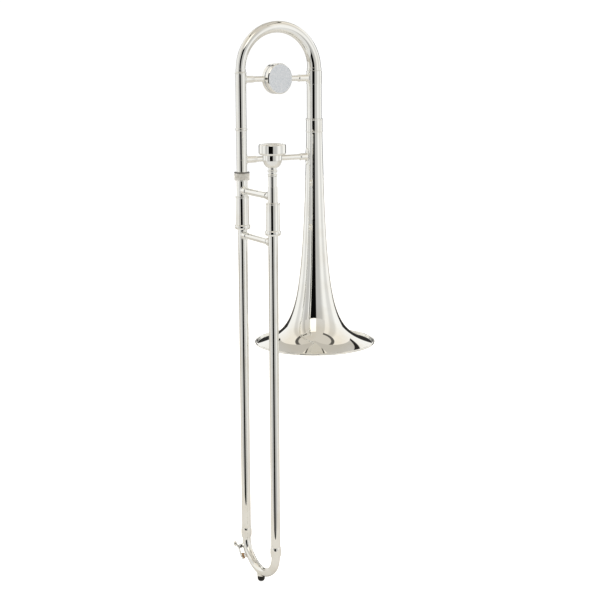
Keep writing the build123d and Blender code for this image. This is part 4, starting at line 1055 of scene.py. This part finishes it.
# the tent's walls by bearing from the camera, positive to its right; then its sheets and gaps, each with its
# lowest and highest angle above the horizon, its two bearings and its tone, laid one over another
tent = {"walls": ((-180, 0.97), (-106, 0.97), (-98, 0.74), (-88, 0.74), (-78, 0.95), (-70, 0.95), (-56, 0.56),
                  (-39, 0.56), (-37, 1.0), (-33, 1.0), (-31.5, 0.003), (6.5, 0.003), (8.5, 0.53), (36, 0.56),
                  (54, 0.96), (68, 0.96), (78, 0.76), (96, 0.76), (108, 1.0), (180, 0.97)),
        "sheets": ((-100, 14, 140, 176, 0.03), (-100, 14, -176, -140, 0.03), (-100, -26, -200, 200, 0.78),
                   (31, 100, -50, 50, 0.72), (31, 100, -24, 6, 1.4), (29, 34, 149, 200, 0.02),
                   (29, 34, -200, -149, 0.02), (34, 100, 149, 200, 0.6), (34, 100, -200, -149, 0.6),
                   (60, 100, -149, 149, 0.72), (60, 65, 48, 149, 0.12), (60, 65, -149, -48, 0.12)),
        "soft": 0.5, "duskLow": -19.0, "duskHigh": -11.0, "duskTone": 0.78,
        "wallLight": "FFFEFB", "roofLight": "F6EFE2", "roofLow": 20.0, "roofHigh": 50.0}


def makeTent():
    world = bpy.data.worlds.new("whiteTent")
    bpy.context.scene.world = world
    world.use_nodes = True
    tree = world.node_tree
    tree.nodes.clear()
    direction = addNode(tree, "ShaderNodeTexCoord").outputs["Generated"]
    upright = addNode(tree, "ShaderNodeSeparateXYZ", {"Vector": direction}).outputs["Z"]
    facing = addNode(tree, "ShaderNodeVectorRotate",
                     {"Vector": direction, "Axis": (0, 0, 1), "Angle": -atan2(-forward.y, -forward.x)},
                     rotation_type="AXIS_ANGLE")
    turned = addNode(tree, "ShaderNodeSeparateXYZ", {"Vector": facing.outputs["Vector"]})
    around = addNode(tree, "ShaderNodeMath",
                     {0: turned.outputs["Y"], 1: turned.outputs["X"]}, operation="ARCTAN2")
    bearing = addNode(tree, "ShaderNodeMath", {0: around.outputs[0]}, operation="DEGREES").outputs[0]
    climb = addNode(tree, "ShaderNodeMath", {0: upright}, operation="ARCSINE")
    rise = addNode(tree, "ShaderNodeMath", {0: climb.outputs[0]}, operation="DEGREES").outputs[0]
    share = addNode(tree, "ShaderNodeMapRange", {"Value": bearing, "From Min": -180, "From Max": 180})
    stops = [((degrees + 180) / 360, (tone, tone, tone, 1.0)) for degrees, tone in tent["walls"]]
    walls = addNode(tree, "ShaderNodeValToRGB", {"Fac": share.outputs["Result"]}, stops=stops)
    dusk = addNode(tree, "ShaderNodeMapRange",
                   {"Value": rise, "From Min": tent["duskLow"], "From Max": tent["duskHigh"],
                    "To Min": tent["duskTone"]})
    light = addNode(tree, "ShaderNodeMath",
                    {0: walls.outputs["Color"], 1: dusk.outputs["Result"]}, operation="MULTIPLY").outputs[0]
    for low, high, left, right, tone in tent["sheets"]:
        cover = 1.0
        for angle, edge, side in ((rise, low, 1), (rise, high, -1), (bearing, left, 1), (bearing, right, -1)):
            inside = addNode(tree, "ShaderNodeMapRange",
                             {"Value": angle, "From Min": edge - side * tent["soft"],
                              "From Max": edge + side * tent["soft"]})
            cover = addNode(tree, "ShaderNodeMath",
                            {0: inside.outputs["Result"], 1: cover}, operation="MULTIPLY").outputs[0]
        light = addNode(tree, "ShaderNodeMix", {0: cover, 2: light, 3: tone}, data_type="FLOAT").outputs[0]
    height = addNode(tree, "ShaderNodeMapRange",
                     {"Value": rise, "From Min": tent["roofLow"], "From Max": tent["roofHigh"]})
    tint = addNode(tree, "ShaderNodeValToRGB",
                   {"Fac": height.outputs["Result"]},
                   stops=((0.0, colour(tent["wallLight"])), (1.0, colour(tent["roofLight"]))))
    glow = addNode(tree, "ShaderNodeBackground", {"Color": tint.outputs["Color"], "Strength": light})
    plain = addNode(tree, "ShaderNodeBackground", {"Color": colour("FFFFFF"), "Strength": 1.05})
    seen = addNode(tree, "ShaderNodeLightPath").outputs["Is Camera Ray"]
    mixed = addNode(tree, "ShaderNodeMixShader", {0: seen, 1: glow.outputs[0], 2: plain.outputs[0]})
    addNode(tree, "ShaderNodeOutputWorld", {"Surface": mixed.outputs[0]})


makeTent()

lamp = {"size": 1.6, "power": 22.0, "place": (-0.3, -0.5, 1.9)}
softbox = bpy.data.lights.new("softbox", "AREA")
softbox.energy = lamp["power"]
softbox.size = lamp["size"]
softbox.color = colour("FFFDF9")[:3]
softboxObject = bpy.data.objects.new("softbox", softbox)
softboxObject.location = lamp["place"]
softboxObject.visible_glossy = False
bpy.context.scene.collection.objects.link(softboxObject)
bpy.context.scene.view_settings.view_transform = "Standard"
print("studio ready")
